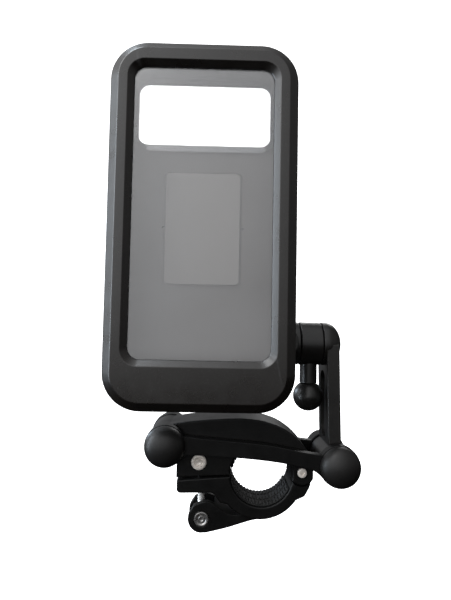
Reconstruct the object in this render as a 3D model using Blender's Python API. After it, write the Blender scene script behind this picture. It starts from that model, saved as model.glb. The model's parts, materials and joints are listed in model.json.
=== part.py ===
"""Folding-arm bicycle phone mount: a sealed phone case on a swivel, a tilting head,
two folding arms and a quick-release handlebar clamp.

Frame: the clamp bore runs along Y and +Z is up.  The screen faces -Y, which is called
the front; seen from there +X is to the right.
Origin: the middle of the upper liner's top flat, where it sits on the bar.
Shapes are drawn from the bore centre and the whole model is then set down by SEAT_Z.
All lengths below are in millimetres and become metres when a mesh is made.
"""

import math

import bmesh
import bpy
from mathutils import Matrix, Vector

MM = 0.001

# ---------------------------------------------------------------- joints
# (x, z) of the axes along Y
JAW_PIVOT = (22.6, 1.6)  # hinge of the lower jaw
ANCHOR = (-34.8, 6.65)  # hinge of the swing bolt
TRUNNION = (-32.9, -25.6)  # hinge of the cam lever
BASE_JOINT = (-53.2, 16.8)  # clamp to lower arm
FOLD_JOINT = (42.0, 7.0)  # lower arm to upper arm
SWIVEL = (-34.7, 132.5)  # case swivel, also the middle of the case
BORE_CENTRE = (0, 0)

TILT_JOINT = (0.0, 72.8)  # (y, z) of the tilt axis, parallel to X
TILT_X = 28.0  # where the head's and the lock lever's origins sit on the tilt axis
COVER_AXIS = (-80.2, -31.5)  # (x, y) of the cover hinge, parallel to Z

# ---------------------------------------------------------------- shared sizes
JAW_BORE_R = 17.4
HALF_WIDTH = 12.0  # half the width of the jaws and the upper arm along Y
LINK_INNER = 13.0  # distance from y = 0 to the lower-arm links' inner faces
LINK_OUTER = 18.1  # and to their outer faces
BORE_R = 3.15  # bolt holes at the base and fold joints
NUT_R = 5.6  # over the corners of the large nuts

Y_BACK = -21.0  # back of the case

# ---------------------------------------------------------------- sides of round shapes
FINE = 28
MID = 20
SMALL = 14
TINY = 12

# ---------------------------------------------------------------- liners and seat
LINER_R = 16.1  # inside of the rubber liners, for a 31.8 mm bar
LINER_THICK = 1.0
LINER_SIDES = 57
# the upper liner has 24 flats, the twelfth of them square on top of the bore
LINER_START = 18
LINER_FLAT = (90 - LINER_START) / 11.5  # degrees
# height of that flat over the bore centre
SEAT_Z = LINER_R * math.cos(math.radians(LINER_FLAT / 2))

# ---------------------------------------------------------------- clean start
for old in list(bpy.data.objects):
    bpy.data.objects.remove(old, do_unlink=True)
for old in list(bpy.data.meshes):
    bpy.data.meshes.remove(old)


# ---------------------------------------------------------------- materials
def add_material(name, colour, roughness, metallic=0.0, alpha=1.0):
    made = bpy.data.materials.new(name)
    made.use_nodes = True
    shader = made.node_tree.nodes["Principled BSDF"]
    shader.inputs["Base Color"].default_value = (*colour, 1.0)
    shader.inputs["Roughness"].default_value = roughness
    shader.inputs["Metallic"].default_value = metallic
    shader.inputs["Alpha"].default_value = alpha
    return made


ABS = add_material("satin_black_abs", colour=(0.035, 0.034, 0.034), roughness=0.42)
NYLON = add_material("black_nylon", colour=(0.022, 0.022, 0.023), roughness=0.5)
RUBBER = add_material("black_rubber", colour=(0.012, 0.012, 0.012), roughness=0.8)
STEEL = add_material("bright_steel", colour=(0.72, 0.71, 0.68), roughness=0.28, metallic=1.0)
CLEAR = add_material("clear_film", colour=(0.8, 0.82, 0.84), roughness=0.15, alpha=0.3)
GREY = add_material("grey_liner", colour=(0.2, 0.19, 0.19), roughness=0.55)


# ---------------------------------------------------------------- outlines
def place(axis, u, v, along):
    """(u, v) in the plane square to an axis, at a distance along it."""
    return {"X": (along, u, v), "Y": (u, along, v), "Z": (u, v, along)}[axis]


def polar(centre, radius, degrees):
    angle = math.radians(degrees)
    return (centre[0] + radius * math.cos(angle), centre[1] + radius * math.sin(angle))


def arc(centre, radius, start, end, sides):
    """Points on a circle from start to end degrees, both ends included."""
    steps = max(1, round(abs(end - start) / 360 * sides))
    return [polar(centre, radius, start + (end - start) * i / steps) for i in range(steps + 1)]


def bend(first, control, last):
    """The two inner points of a quadratic curve that heads for control."""
    return [
        tuple(
            (1 - t) ** 2 * a + 2 * t * (1 - t) * b + t * t * c
            for a, b, c in zip(first, control, last)
        )
        for t in (1 / 3, 2 / 3)
    ]


def rectangle(left, right, low, high):
    return [(left, low), (right, low), (right, high), (left, high)]


def slab(left, right, low, high, radius):
    """A rounded rectangle, counter-clockwise, always with 20 points."""
    steps = 4
    corners = (
        (right - radius, high - radius, 0),
        (left + radius, high - radius, 90),
        (left + radius, low + radius, 180),
        (right - radius, low + radius, 270),
    )
    return [
        polar((x, z), radius, start + 90 * i / steps)
        for x, z, start in corners
        for i in range(steps + 1)
    ]


def tidy(points):
    """The outline without points that sit on top of each other."""
    nearest = 0.05
    out = []
    for point in points:
        if not out or math.dist(point, out[-1]) > nearest:
            out.append(point)
    if math.dist(out[0], out[-1]) <= nearest:
        out.pop()
    return out


def inset(points, by):
    """A counter-clockwise outline moved inwards by a distance."""
    out = []
    for i, point in enumerate(points):
        here = Vector(point)
        arriving = (here - Vector(points[i - 1])).normalized()
        leaving = (Vector(points[(i + 1) % len(points)]) - here).normalized()
        normal_in = Vector((-arriving.y, arriving.x))
        normal_out = Vector((-leaving.y, leaving.x))
        middle = (normal_in + normal_out).normalized()
        stretch = min(1.0 / max(middle.dot(normal_out), 0.35), 2.0)
        out.append(tuple(here + middle * by * stretch))
    return out


def meet(centre_a, radius_a, centre_b, radius_b, side):
    """Where two circles cross; side +1 is left of the line from a to b."""
    apart = math.dist(centre_a, centre_b)
    ahead = (radius_a**2 - radius_b**2 + apart**2) / (2 * apart)
    aside = math.sqrt(radius_a**2 - ahead**2) * side
    ux = (centre_b[0] - centre_a[0]) / apart
    uz = (centre_b[1] - centre_a[1]) / apart
    return (centre_a[0] + ahead * ux - aside * uz, centre_a[1] + ahead * uz + aside * ux)


def angle_of(centre, point):
    return math.degrees(math.atan2(point[1] - centre[1], point[0] - centre[0]))


# ---------------------------------------------------------------- turning profiles
# each is a list of (radius, distance along the axis)
def stepped(start, *steps):
    """A solid of plain lengths, each given as (radius, where it ends)."""
    profile = [(0, start)]
    for radius, end in steps:
        profile += [(radius, start), (radius, end)]
        start = end
    return profile + [(0, start)]


def rod(radius, low, high, edge=0.0):
    """A plain rod, its ends chamfered by edge."""
    if not edge:
        return stepped(low, (radius, high))
    return [(0, low), *pipe(radius - edge, radius, low, high, edge)[1:-1], (0, high)]


def pipe(inner, outer, low, high, edge=0.0):
    """A bush or washer, its outer rims chamfered by edge."""
    if not edge:
        return [(inner, low), (outer, low), (outer, high), (inner, high)]
    return [
        (inner, low),
        (outer - edge, low),
        (outer, low + edge),
        (outer, high - edge),
        (outer - edge, high),
        (inner, high),
    ]


def dome(radius, base, rise, steps):
    """A quarter ellipse from its rim at base to the pole."""
    points = []
    for i in range(steps):
        angle = math.radians(90 * i / steps)
        points.append((radius * math.cos(angle), base + rise * math.sin(angle)))
    return points + [(0, base + rise)]


# ---------------------------------------------------------------- body frames
FRAMES = {}


def add_frame(name, at, parent=None):
    """An empty on a joint's axis; the pieces of one moving body hang from it."""
    empty = bpy.data.objects.new("frame_" + name, None)
    empty.empty_display_size = 0.01
    empty["world_mm"] = at
    where = Vector(at) * MM
    if parent:
        empty.parent = FRAMES[parent]
        where = where - Vector(FRAMES[parent]["world_mm"]) * MM
    empty.location = where
    bpy.context.scene.collection.objects.link(empty)
    FRAMES[name] = empty


add_frame("clamp", (0, 0, 0))
add_frame("lower_jaw", place("Y", *JAW_PIVOT, 0), "clamp")
add_frame("swing_bolt", place("Y", *ANCHOR, 0), "clamp")
add_frame("cam_lever", place("Y", *TRUNNION, 0), "swing_bolt")
add_frame("lower_arm", place("Y", *BASE_JOINT, 0), "clamp")
add_frame("upper_arm", place("Y", *FOLD_JOINT, 0), "lower_arm")
add_frame("lock_lever", place("X", *TILT_JOINT, TILT_X), "upper_arm")
add_frame("head", place("X", *TILT_JOINT, TILT_X), "upper_arm")
add_frame("case", place("Y", *SWIVEL, Y_BACK), "head")
add_frame("cover", place("Z", *COVER_AXIS, SWIVEL[1]), "case")
add_frame("lock_slider", (11.0, -35.0, SWIVEL[1]), "case")


# ---------------------------------------------------------------- solids
# a solid without a body is a shape that only cuts or joins
def finish(name, bm, material, body):
    bmesh.ops.recalc_face_normals(bm, faces=bm.faces)
    at = Vector(FRAMES[body]["world_mm"]) if body else Vector((0, 0, 0))
    bmesh.ops.translate(bm, verts=bm.verts, vec=-at)
    bmesh.ops.scale(bm, verts=bm.verts, vec=(MM, MM, MM))
    mesh = bpy.data.meshes.new(name)
    bm.to_mesh(mesh)
    bm.free()
    obj = bpy.data.objects.new(name, mesh)
    bpy.context.scene.collection.objects.link(obj)
    if material:
        mesh.materials.append(material)
    mesh.shade_smooth()
    mesh.set_sharp_from_angle(angle=math.radians(35.0))
    if body:
        obj.parent = FRAMES[body]
    return obj


def loft(name, loops, material=None, body=None, ring=False):
    """Faces between equally long loops of points, with end faces or closed into a ring."""
    bm = bmesh.new()
    rows = [[bm.verts.new(point) for point in loop] for loop in loops]
    count = len(rows[0])
    pairs = list(zip(rows, rows[1:])) + ([(rows[-1], rows[0])] if ring else [])
    for low, high in pairs:
        for i in range(count):
            j = (i + 1) % count
            bm.faces.new((low[i], low[j], high[j], high[i]))
    if not ring:
        bm.faces.new(tuple(reversed(rows[0])))
        bm.faces.new(tuple(rows[-1]))
    return finish(name, bm, material, body)


def prism(name, outline, low, high, material=None, body=None, axis="Y", edge=0.0):
    """An outline pushed along an axis, its two rims chamfered by edge."""
    outline = tidy(outline)
    if edge:
        narrow = inset(outline, edge)
        levels = [
            (low, narrow),
            (low + edge, outline),
            (high - edge, outline),
            (high, narrow),
        ]
    else:
        levels = [(low, outline), (high, outline)]
    loops = [[place(axis, u, v, along) for u, v in points] for along, points in levels]
    return loft(name, loops, material, body)


def turned(name, profile, centre, material=None, body=None, axis="Y", sides=MID):
    """A profile of (radius, distance along the axis) turned about an axis.
    A profile that stays off the axis closes on itself, which makes a ring."""
    bm = bmesh.new()

    def row(radius, along):
        if radius < 1e-6:
            return [bm.verts.new(place(axis, centre[0], centre[1], along))]
        made = []
        for i in range(sides):
            angle = 2 * math.pi * i / sides
            u = centre[0] + radius * math.cos(angle)
            v = centre[1] + radius * math.sin(angle)
            made.append(bm.verts.new(place(axis, u, v, along)))
        return made

    rows = [row(radius, along) for radius, along in profile]
    hollow = profile[0][0] > 0 and profile[-1][0] > 0
    pairs = list(zip(rows, rows[1:])) + ([(rows[-1], rows[0])] if hollow else [])
    for low, high in pairs:
        for i in range(sides):
            j = (i + 1) % sides
            if len(low) == 1:
                bm.faces.new((low[0], high[j], high[i]))
            elif len(high) == 1:
                bm.faces.new((low[i], low[j], high[0]))
            else:
                bm.faces.new((low[i], low[j], high[j], high[i]))
    return finish(name, bm, material, body)


def add_boolean(target, prefix, operation, tool):
    modifier = target.modifiers.new(prefix + tool.name, "BOOLEAN")
    modifier.operation = operation
    modifier.solver = "EXACT"
    modifier.object = tool
    tool.hide_render = True
    tool.display_type = "WIRE"


def join(target, *tools):
    for tool in tools:
        add_boolean(target, "join_", "UNION", tool)


def cut(target, *tools):
    for tool in tools:
        add_boolean(target, "cut_", "DIFFERENCE", tool)


def nut(name, at, low, high, corner, bore, body, axis="Y"):
    """A hexagon nut with a plain round bore."""
    made = turned(name, rod(corner, low, high, 0.5), at, STEEL, body, axis=axis, sides=6)
    thread = rod(bore, low - 5, high + 5)
    cut(made, turned("k_thread_" + name, thread, at, axis=axis, sides=SMALL))


# ================================================================ CLAMP
# ---------------------------------------------------------------- upper jaw
LUG_R = 7.1
BOLT_SLOT_R = 5.6  # round top of the slot for the swing bolt

lug_meet = meet(BORE_CENTRE, JAW_BORE_R, JAW_PIVOT, LUG_R, -1)
# (x, z): along the bore, round the lug, over the back of the jaw, round the base joint
upper_jaw_outline = (
    [(-47.2, -1.9), (-17.9, -0.1)]
    + arc(BORE_CENTRE, JAW_BORE_R, 180.3, angle_of(BORE_CENTRE, lug_meet), FINE)
    + arc(JAW_PIVOT, LUG_R, angle_of(JAW_PIVOT, lug_meet), -28, FINE)[1:]
    + [(28.9, 0.6), (28.7, 5.0), (27.4, 9.8), (24.2, 15.4), (19.4, 20.6), (14.2, 24.5)]
    + [(8.6, 27.4), (0.4, 29.8), (-6.0, 30.7), (-13.5, 31.0), (-27.0, 30.3), (-41.0, 29.0)]
    + arc(BASE_JOINT, 10.8, 78, 300, FINE)
    + [(-47.2, 6.4)]
)
bolt_slot = (
    [(ANCHOR[0] + BOLT_SLOT_R, -6.0)]
    + arc(ANCHOR, BOLT_SLOT_R, 0, 118, SMALL)
    + [(-66.0, 3.6), (-66.0, -6.0)]
)
anchor_hole = stepped(-14, (4.55, -11.0), (2.3, 11.0), (3.5, 14))
pivot_hole = stepped(-14, (2.9, -11.2), (1.9, 10.3), (3.5, 14))
upper_jaw = prism(
    "upper_jaw", upper_jaw_outline, -HALF_WIDTH, HALF_WIDTH, NYLON, "clamp", edge=1.2
)
cut(
    upper_jaw,
    prism("k_bolt_slot", bolt_slot, -4.8, 4.8),
    turned("k_hinge_slot", rod(LUG_R + 0.1, -5.2, 5.2), JAW_PIVOT),
    turned("k_anchor", anchor_hole, ANCHOR),
    turned("k_pivot", pivot_hole, JAW_PIVOT, sides=SMALL),
    turned("k_base_bolt", rod(BORE_R, -14, 14), BASE_JOINT),
)

# ---------------------------------------------------------------- lower jaw
# its eye fits between the two lugs of the upper jaw
EYE_R = 6.7

eye_meet = meet(BORE_CENTRE, JAW_BORE_R, JAW_PIVOT, EYE_R, 1)
# (x, z): round the ear, under the jaw, round the eye and back along the bore
lower_jaw_outline = (
    [(-17.9, -1.1), (-46.2, -3.1), (-46.9, -3.8), (-46.8, -8.4), (-44.5, -10.3), (-28.2, -10.0)]
    + bend((-28.2, -10.0), (-26.2, -10.0), (-24.9, -12.6))
    + [(-24.9, -12.6), (-22.9, -15.2)]
    + [
        (24.3 * math.cos(math.radians(degrees)) - 0.8, 24.1 * math.sin(math.radians(degrees)))
        for degrees in range(222, 328, 8)
    ]
    + [(23.6, -11.6), (26.4, -7.2), (28.0, -2.8)]
    + arc(JAW_PIVOT, EYE_R, -30, angle_of(JAW_PIVOT, eye_meet), FINE)
    + arc(BORE_CENTRE, JAW_BORE_R, angle_of(BORE_CENTRE, eye_meet), -176.4, FINE)
)
lever_channel = arc(BORE_CENTRE, 21.0, 205, 322, FINE) + arc(BORE_CENTRE, 33.0, 322, 205, FINE)
lower_jaw = prism(
    "lower_jaw", lower_jaw_outline, -HALF_WIDTH, HALF_WIDTH, NYLON, "lower_jaw", edge=1.2
)
cut(
    lower_jaw,
    turned("k_lug_front", rod(LUG_R + 0.4, -15, -4.9), JAW_PIVOT, sides=FINE),
    turned("k_lug_rear", rod(LUG_R + 0.4, 4.9, 15), JAW_PIVOT, sides=FINE),
    turned("k_eye", rod(1.9, -15, 15), JAW_PIVOT, sides=SMALL),
    prism("k_ear_slot", rectangle(-60, -30.6, -16, 2), -2.8, 2.8),
    prism("k_lever_channel", lever_channel, -8.9, 8.9),
)


# ---------------------------------------------------------------- liners
def liner(name, start, end, body):
    outer = arc(BORE_CENTRE, LINER_R + LINER_THICK, start, end, LINER_SIDES)
    inner = arc(BORE_CENTRE, LINER_R, end, start, LINER_SIDES)
    prism(name, outer + inner, -11.0, 11.0, RUBBER, body)


liner("upper_liner", LINER_START, LINER_START + 24 * LINER_FLAT, "clamp")
liner("lower_liner", 190, 335, "lower_jaw")

# ---------------------------------------------------------------- pins, (radius, y)
anchor_pin = [
    (0, -12.6), (3.7, -12.6), (4.25, -12.1), (4.25, -11.3), (2.0, -11.3),
    (2.0, 11.3), (3.2, 11.3), (3.2, 12.2), (2.6, 12.6), (0, 12.6),
]
turned("anchor_pin", anchor_pin, ANCHOR, STEEL, "clamp")
jaw_pin = [
    (0, -12.6), (2.2, -12.6), (2.6, -12.3), (2.6, -11.5),
    (1.6, -11.5), (1.6, 12.4), (0, 12.4),
]
turned("jaw_pin", jaw_pin, JAW_PIVOT, STEEL, "clamp", sides=TINY)
nut("jaw_pin_nut", JAW_PIVOT, 10.6, 12.6, corner=3.2, bore=1.9, body="clamp")

# ================================================================ QUICK RELEASE
lean = Vector(place("Y", *TRUNNION, 0)) - Vector(place("Y", *ANCHOR, 0))


def lean_over(obj, at):
    """Sets a shape drawn up the Z axis at a joint, pointing from anchor to trunnion."""
    turn = Vector((0, 0, 1)).rotation_difference(lean.normalized()).to_matrix().to_4x4()
    obj.matrix_world = Matrix.Translation(Vector(place("Y", *at, 0)) * MM) @ turn
    return obj


# ---------------------------------------------------------------- swing bolt
swing_bolt = turned("swing_bolt", pipe(2.3, 5.0, -4.3, 4.3, 0.6), ANCHOR, STEEL, "swing_bolt")
shank = rod(2.0, 3.6, lean.length + 3.5, 0.4)
join(swing_bolt, lean_over(turned("k_shank", shank, (0, 0), axis="Z", sides=SMALL), ANCHOR))

# ---------------------------------------------------------------- lever pin
lever_pin = turned(
    "lever_pin", rod(4.1, -8.9, 8.9, 0.5), TRUNNION, STEEL, "swing_bolt", sides=FINE
)
cross_hole = turned("k_cross_hole", rod(2.3, -12, 12), (0, 0), axis="Z", sides=SMALL)
cut(lever_pin, lean_over(cross_hole, TRUNNION))

# ---------------------------------------------------------------- cam lever
# (x, z): round the trunnion, along the underside to the tip and back over the top
cam_lever_outline = (
    arc(TRUNNION, 7.6, 152, 266, FINE)
    + [(-30.2, -33.0), (-18.2, -30.1), (-6.0, -26.3), (1.2, -24.9), (8.0, -23.2), (12.4, -21.4)]
    + arc(BORE_CENTRE, 21.6, 303, 255, FINE)
    + [(-9.0, -22.2), (-13.0, -23.2), (-17.2, -22.8), (-21.6, -20.6), (-25.5, -17.9)]
    + bend((-25.5, -17.9), (-28.4, -15.8), (-31.6, -16.2))
    + [(-31.6, -16.2), (-37.2, -18.2)]
)
cam_lever = prism("cam_lever", cam_lever_outline, -8.3, 8.3, NYLON, "cam_lever", edge=0.9)
cut(
    cam_lever,
    turned("k_lever_eye", rod(4.4, -12, 12), TRUNNION, sides=FINE),
    prism("k_lever_slot", rectangle(-46, -25.6, -40, -12), -4.7, 4.7),
)

# ================================================================ LOWER ARM
LINK_EYE_R = 11.3
CAP_R = 11.0
CAP_RECESS_R = 6.7
CAP_RIM_Y = -(LINK_OUTER + 0.3)
BOLT_R = 2.8
WASHER_Y = (HALF_WIDTH + LINK_INNER) / 2  # washers sit midway between arm and link
WASHER_THICK = 0.5
# tag, side of the cap, (x, z)
LINK_ENDS = (("base", "left", BASE_JOINT), ("fold", "right", FOLD_JOINT))


# ---------------------------------------------------------------- links
def link_outline():
    """The bar is arched a little and its edges run smoothly into the two eyes."""
    base_top = polar(BASE_JOINT, LINK_EYE_R, 27)
    base_bottom = polar(BASE_JOINT, LINK_EYE_R, -38)
    fold_bottom = polar(FOLD_JOINT, LINK_EYE_R, 213)
    fold_top = polar(FOLD_JOINT, LINK_EYE_R, 146)
    return (
        arc(BASE_JOINT, LINK_EYE_R, 27, 322, FINE)
        + bend(base_bottom, (-41.9, 12.4), (-37.5, 12.1))
        + [(-37.5, 12.1), (-17.9, 11.2), (-3.0, 10.1), (10.5, 8.5), (24.0, 5.9)]
        + bend((24.0, 5.9), (29.3, 4.8), fold_bottom)
        + arc(FOLD_JOINT, LINK_EYE_R, 213, 506, FINE)
        + bend(fold_top, (31.0, 13.2), (24.0, 14.2))
        + [(24.0, 14.2), (15.1, 15.9), (0.7, 18.3), (-18.0, 19.8), (-36.0, 21.3)]
        + bend((-36.0, 21.3), (-41.0, 21.8), base_top)
    )


def link(name, low, high):
    return prism(name, link_outline(), low, high, NYLON, "lower_arm", edge=0.7)


front_link = link("lower_arm_front", -LINK_OUTER, -LINK_INNER)
rear_link = link("lower_arm_rear", LINK_INNER, LINK_OUTER)
nut_boss = rod(LINK_EYE_R - 0.6, 16.0, 24.4, 0.8)
nut_recess = stepped(0, (BORE_R, 19.6), (6.4, 30))
for tag, _, at in LINK_ENDS:
    cut(front_link, turned("k_front_" + tag, rod(BORE_R, -30, 30), at))
    join(rear_link, turned("k_boss_" + tag, nut_boss, at, sides=FINE))
# the recesses are cut once both bosses are on
for tag, _, at in LINK_ENDS:
    cut(rear_link, turned("k_rear_" + tag, nut_recess, at))

# ---------------------------------------------------------------- caps, bolts and washers
# a domed cap hides each bolt's head: from the pole to the rim, then into the recess
cap_profile = list(reversed(dome(CAP_R, base=-19.2, rise=-7.1, steps=7))) + [
    (CAP_R, CAP_RIM_Y),
    (CAP_RECESS_R, CAP_RIM_Y),
    (CAP_RECESS_R, -22.4),
    (0, -22.4),
]
link_bolt = [
    (0, -21.8), (4.6, -21.8), (6.0, -20.6), (6.0, CAP_RIM_Y),
    (BOLT_R, CAP_RIM_Y), (BOLT_R, 23.8), (0, 23.8),
]
for tag, cap_side, at in LINK_ENDS:
    turned("pivot_cap_" + cap_side, cap_profile, at, NYLON, "lower_arm", sides=FINE)
    turned(tag + "_bolt", link_bolt, at, STEEL, "lower_arm")
    nut(tag + "_nut", at, 19.9, 23.9, corner=NUT_R, bore=3.1, body="lower_arm")
    for side, middle in (("front", -WASHER_Y), ("rear", WASHER_Y)):
        washer = pipe(3.3, 8.6, middle - WASHER_THICK / 2, middle + WASHER_THICK / 2)
        turned(f"{tag}_washer_{side}", washer, at, STEEL, "lower_arm")

# ================================================================ UPPER ARM
TILT_BOSS_R = 12.4

# (x, z), counter-clockwise from the top right
upper_arm_outline = [
    (43.1, 72.8), (43.7, 45.0), (44.3, 18.0), (44.5, 12.0),
    (39.6, 12.0), (37.3, 17.0), (36.6, 40.0), (35.9, 72.8),
]
upper_arm = prism(
    "upper_arm", upper_arm_outline, -HALF_WIDTH, HALF_WIDTH, NYLON, "upper_arm", edge=0.8
)
tilt_boss = [(0, 34.6), (TILT_BOSS_R - 0.5, 34.6), (TILT_BOSS_R, 35.1)]
tilt_boss += dome(TILT_BOSS_R, base=37.0, rise=9.2, steps=6)
fold_knuckle = rod(10.3, -HALF_WIDTH + 0.05, HALF_WIDTH - 0.05, 0.6)
join(
    upper_arm,
    turned("k_tilt_boss", tilt_boss, TILT_JOINT, axis="X", sides=FINE),
    turned("k_fold_knuckle", fold_knuckle, FOLD_JOINT, sides=FINE),
)
# a long round-ended pocket in the arm's left face, (y, z)
pocket = arc((0, 51.0), 6.4, 0, 180, MID) + arc((0, 25.5), 6.4, 180, 360, MID)
cut(
    upper_arm,
    turned("k_fold_bore", rod(BORE_R, -14, 14), FOLD_JOINT),
    turned("k_tilt_bore", rod(3.3, 30, 40.8), TILT_JOINT, axis="X"),
    prism("k_arm_pocket", pocket, 30.0, 38.6, axis="X"),
)
turned("tilt_bolt", rod(3.0, -3.0, 40.4, 0.5), TILT_JOINT, STEEL, "upper_arm", axis="X")
nut("tilt_nut", TILT_JOINT, -2.0, 2.9, corner=NUT_R, bore=3.3, body="upper_arm", axis="X")

# ---------------------------------------------------------------- lock lever
# a hub on the tilt axis with a stem down into a ball
STEM_AXIS = (27.7, 0)  # (x, y)
BALL_Z = 42.4
BALL_R = 8.7

hub = pipe(3.4, 12.4, 21.7, 34.2, 0.7)
lock_lever = turned("lock_lever", hub, TILT_JOINT, NYLON, "lock_lever", axis="X", sides=FINE)
join(lock_lever, turned("k_stem", stepped(45.2, (3.0, 49.8), (5.0, 64.0)), STEM_AXIS, axis="Z"))
# (radius, z) from the bottom pole up, then down into the stem's socket
ball = [(0, BALL_Z - BALL_R)]
ball += [polar((0, BALL_Z), BALL_R, -90 + 16 * i) for i in range(1, 10)]
ball += [(5.0, 49.5), (3.3, 49.5), (3.3, 44.8), (0, 44.8)]
turned("lever_ball", ball, STEM_AXIS, NYLON, "lock_lever", axis="Z")

# ================================================================ HEAD
BRACKET_FOOT = (11.0, 74.0)  # (x, z)
HEAD_R = 12.5
FOOT_R = 8.4

# two circles, head and foot, with their common tangents
along = angle_of(BRACKET_FOOT, SWIVEL)
spread = math.degrees(math.acos((FOOT_R - HEAD_R) / math.dist(SWIVEL, BRACKET_FOOT)))
bracket_outline = arc(SWIVEL, HEAD_R, along - spread, along + spread, FINE) + arc(
    BRACKET_FOOT, FOOT_R, along + spread, along + 360 - spread, FINE
)
bracket = prism("head_bracket", bracket_outline, -15.4, -8.0, NYLON, "head", edge=0.7)
join(
    bracket,
    turned("k_swivel_disc", rod(HEAD_R, -17.4, -8.4, 0.5), SWIVEL, sides=FINE),
    turned("k_barrel", rod(12.3, 3.4, 21.3, 0.6), TILT_JOINT, axis="X", sides=FINE),
)
cut(
    bracket,
    turned("k_swivel_bore", rod(3.3, -25, 0), SWIVEL),
    turned("k_head_bore", rod(3.4, -4, 30), TILT_JOINT, axis="X"),
)

# ================================================================ CASE
CASE_W, CASE_H, CASE_R = 95.0, 185.0, 19.0
CASE_LEFT, CASE_RIGHT = SWIVEL[0] - CASE_W / 2, SWIVEL[0] + CASE_W / 2
CASE_BOTTOM, CASE_TOP = SWIVEL[1] - CASE_H / 2, SWIVEL[1] + CASE_H / 2
# window in the bezel
WINDOW_LEFT, WINDOW_RIGHT = CASE_LEFT + 12.4, CASE_RIGHT - 12.4
WINDOW_BOTTOM, WINDOW_TOP = CASE_BOTTOM + 25.4, CASE_TOP - 13.4
CAVITY = 7.4  # from the outline to the inside of the walls

Y_FRONT = -47.5  # flat of the bezel
Y_BEZEL_BACK = Y_FRONT + 2.7
Y_EDGE = -43.0  # front of the widest outline
Y_SPLIT = -36.0  # back plane of the opening cover
Y_RIM = -35.7  # front plane of the back shell
Y_FLOOR = -23.4

# knuckles along the cover hinge: three on the cover, two on the back shell
HINGE_R = 1.9
KNUCKLE_HALF = 5.0
KNUCKLE_PITCH = 53.5
KNUCKLE_GAP = 0.4
FIXED_NEAR = KNUCKLE_PITCH + KNUCKLE_HALF + KNUCKLE_GAP  # from the middle of the case
FIXED_FAR = 70.5
KNUCKLES = [
    (SWIVEL[1] + step * KNUCKLE_PITCH - KNUCKLE_HALF, SWIVEL[1] + step * KNUCKLE_PITCH + KNUCKLE_HALF)
    for step in (-1, 0, 1)
]
FIXED_KNUCKLES = [
    (SWIVEL[1] - FIXED_FAR, SWIVEL[1] - FIXED_NEAR),
    (SWIVEL[1] + FIXED_NEAR, SWIVEL[1] + FIXED_FAR),
]


def case_loop(by, y):
    """A loop of the case's outline moved in by a distance."""
    outline = slab(
        CASE_LEFT + by, CASE_RIGHT - by, CASE_BOTTOM + by, CASE_TOP - by, CASE_R - by
    )
    return [(x, y, z) for x, z in outline]


def window_loop(out, y, radius):
    """A loop of the window's outline moved out by a distance."""
    outline = slab(
        WINDOW_LEFT - out, WINDOW_RIGHT + out, WINDOW_BOTTOM - out, WINDOW_TOP + out, radius
    )
    return [(x, y, z) for x, z in outline]


def hinge_bore(name):
    return turned(name, rod(1.25, 55.0, 210.0), COVER_AXIS, axis="Z", sides=TINY)


# ---------------------------------------------------------------- front frame
front_frame = loft(
    "front_frame",
    [
        case_loop(0.0, Y_SPLIT),
        case_loop(0.0, Y_EDGE),
        case_loop(0.5, Y_EDGE - 0.9),
        case_loop(4.7, Y_FRONT + 0.25),
        case_loop(5.4, Y_FRONT),
        window_loop(3.3, Y_FRONT, 8.6),
        window_loop(2.8, Y_FRONT + 0.2, 8.2),
        window_loop(0.3, Y_FRONT + 2.3, 6.2),
        window_loop(0.0, Y_BEZEL_BACK, 6.0),
        case_loop(CAVITY, Y_BEZEL_BACK),
        case_loop(CAVITY, Y_SPLIT),
    ],
    ABS, "cover", ring=True,
)
hinge_round = arc(COVER_AXIS, HINGE_R, 0, 180, SMALL)
cover_tab = (
    [(COVER_AXIS[0] + HINGE_R, -38.0)] + hinge_round + [(COVER_AXIS[0] - HINGE_R, -38.0)]
)
for i, (bottom, top) in enumerate(KNUCKLES):
    join(front_frame, prism(f"k_knuckle_{i}", cover_tab, bottom, top, axis="Z"))
cut(
    front_frame,
    hinge_bore("k_cover_pin"),
    # the slot that the lock slider's hook enters, and the ledge's undercut above it
    prism("k_keeper_in", rectangle(9.0, 14.0, -41.0, -34.0), 117.6, 129.4, axis="Z"),
    prism("k_keeper_up", rectangle(9.0, 14.0, -41.0, -38.4), 129.0, 138.0, axis="Z"),
    prism("k_keeper_leg", rectangle(10.9, 14.0, -40.0, -34.0), 129.0, 138.0, axis="Z"),
)

# ---------------------------------------------------------------- film, retainer and gasket
film = [window_loop(2.2, -44.5, 7.6), window_loop(2.2, -44.0, 7.6)]
loft("touch_film", film, CLEAR, "cover")
retainer = [
    case_loop(CAVITY + 0.3, -43.7),
    window_loop(0.5, -43.7, 6.4),
    window_loop(0.5, -42.6, 6.4),
    case_loop(CAVITY + 0.3, -42.6),
]
loft("film_retainer", retainer, ABS, "cover", ring=True)
gasket = [
    case_loop(by, y) for by, y in ((4.75, -35.75), (6.05, -35.75), (6.05, -34.6), (4.75, -34.6))
]
loft("seal_gasket", gasket, RUBBER, "case", ring=True)

# ---------------------------------------------------------------- back shell
# (distance in from the outline, y): back, outer wall, rim with gasket groove, cavity
SHELL_SECTION = [
    (7.4, Y_BACK),
    (4.9, Y_BACK - 2.2),
    (4.2, -33.2),
    (0.9, -33.4),
    (0.9, Y_RIM),
    (4.5, Y_RIM),
    (4.5, -34.3),
    (6.3, -34.3),
    (6.3, Y_RIM),
    (CAVITY, Y_RIM),
    (CAVITY + 0.4, Y_FLOOR),
]
# left, right, bottom, top
CAMERA_HOLE = (-71.4, 1.0, 180.4, 214.8)
PLATE_RECESS = (-56.4, -13.9, 101.5, 165.3)
SCREWS = [
    (SWIVEL[0] + side * 15.0, SWIVEL[1] + level * 18.0) for side in (-1, 1) for level in (-1, 1)
]

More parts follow.
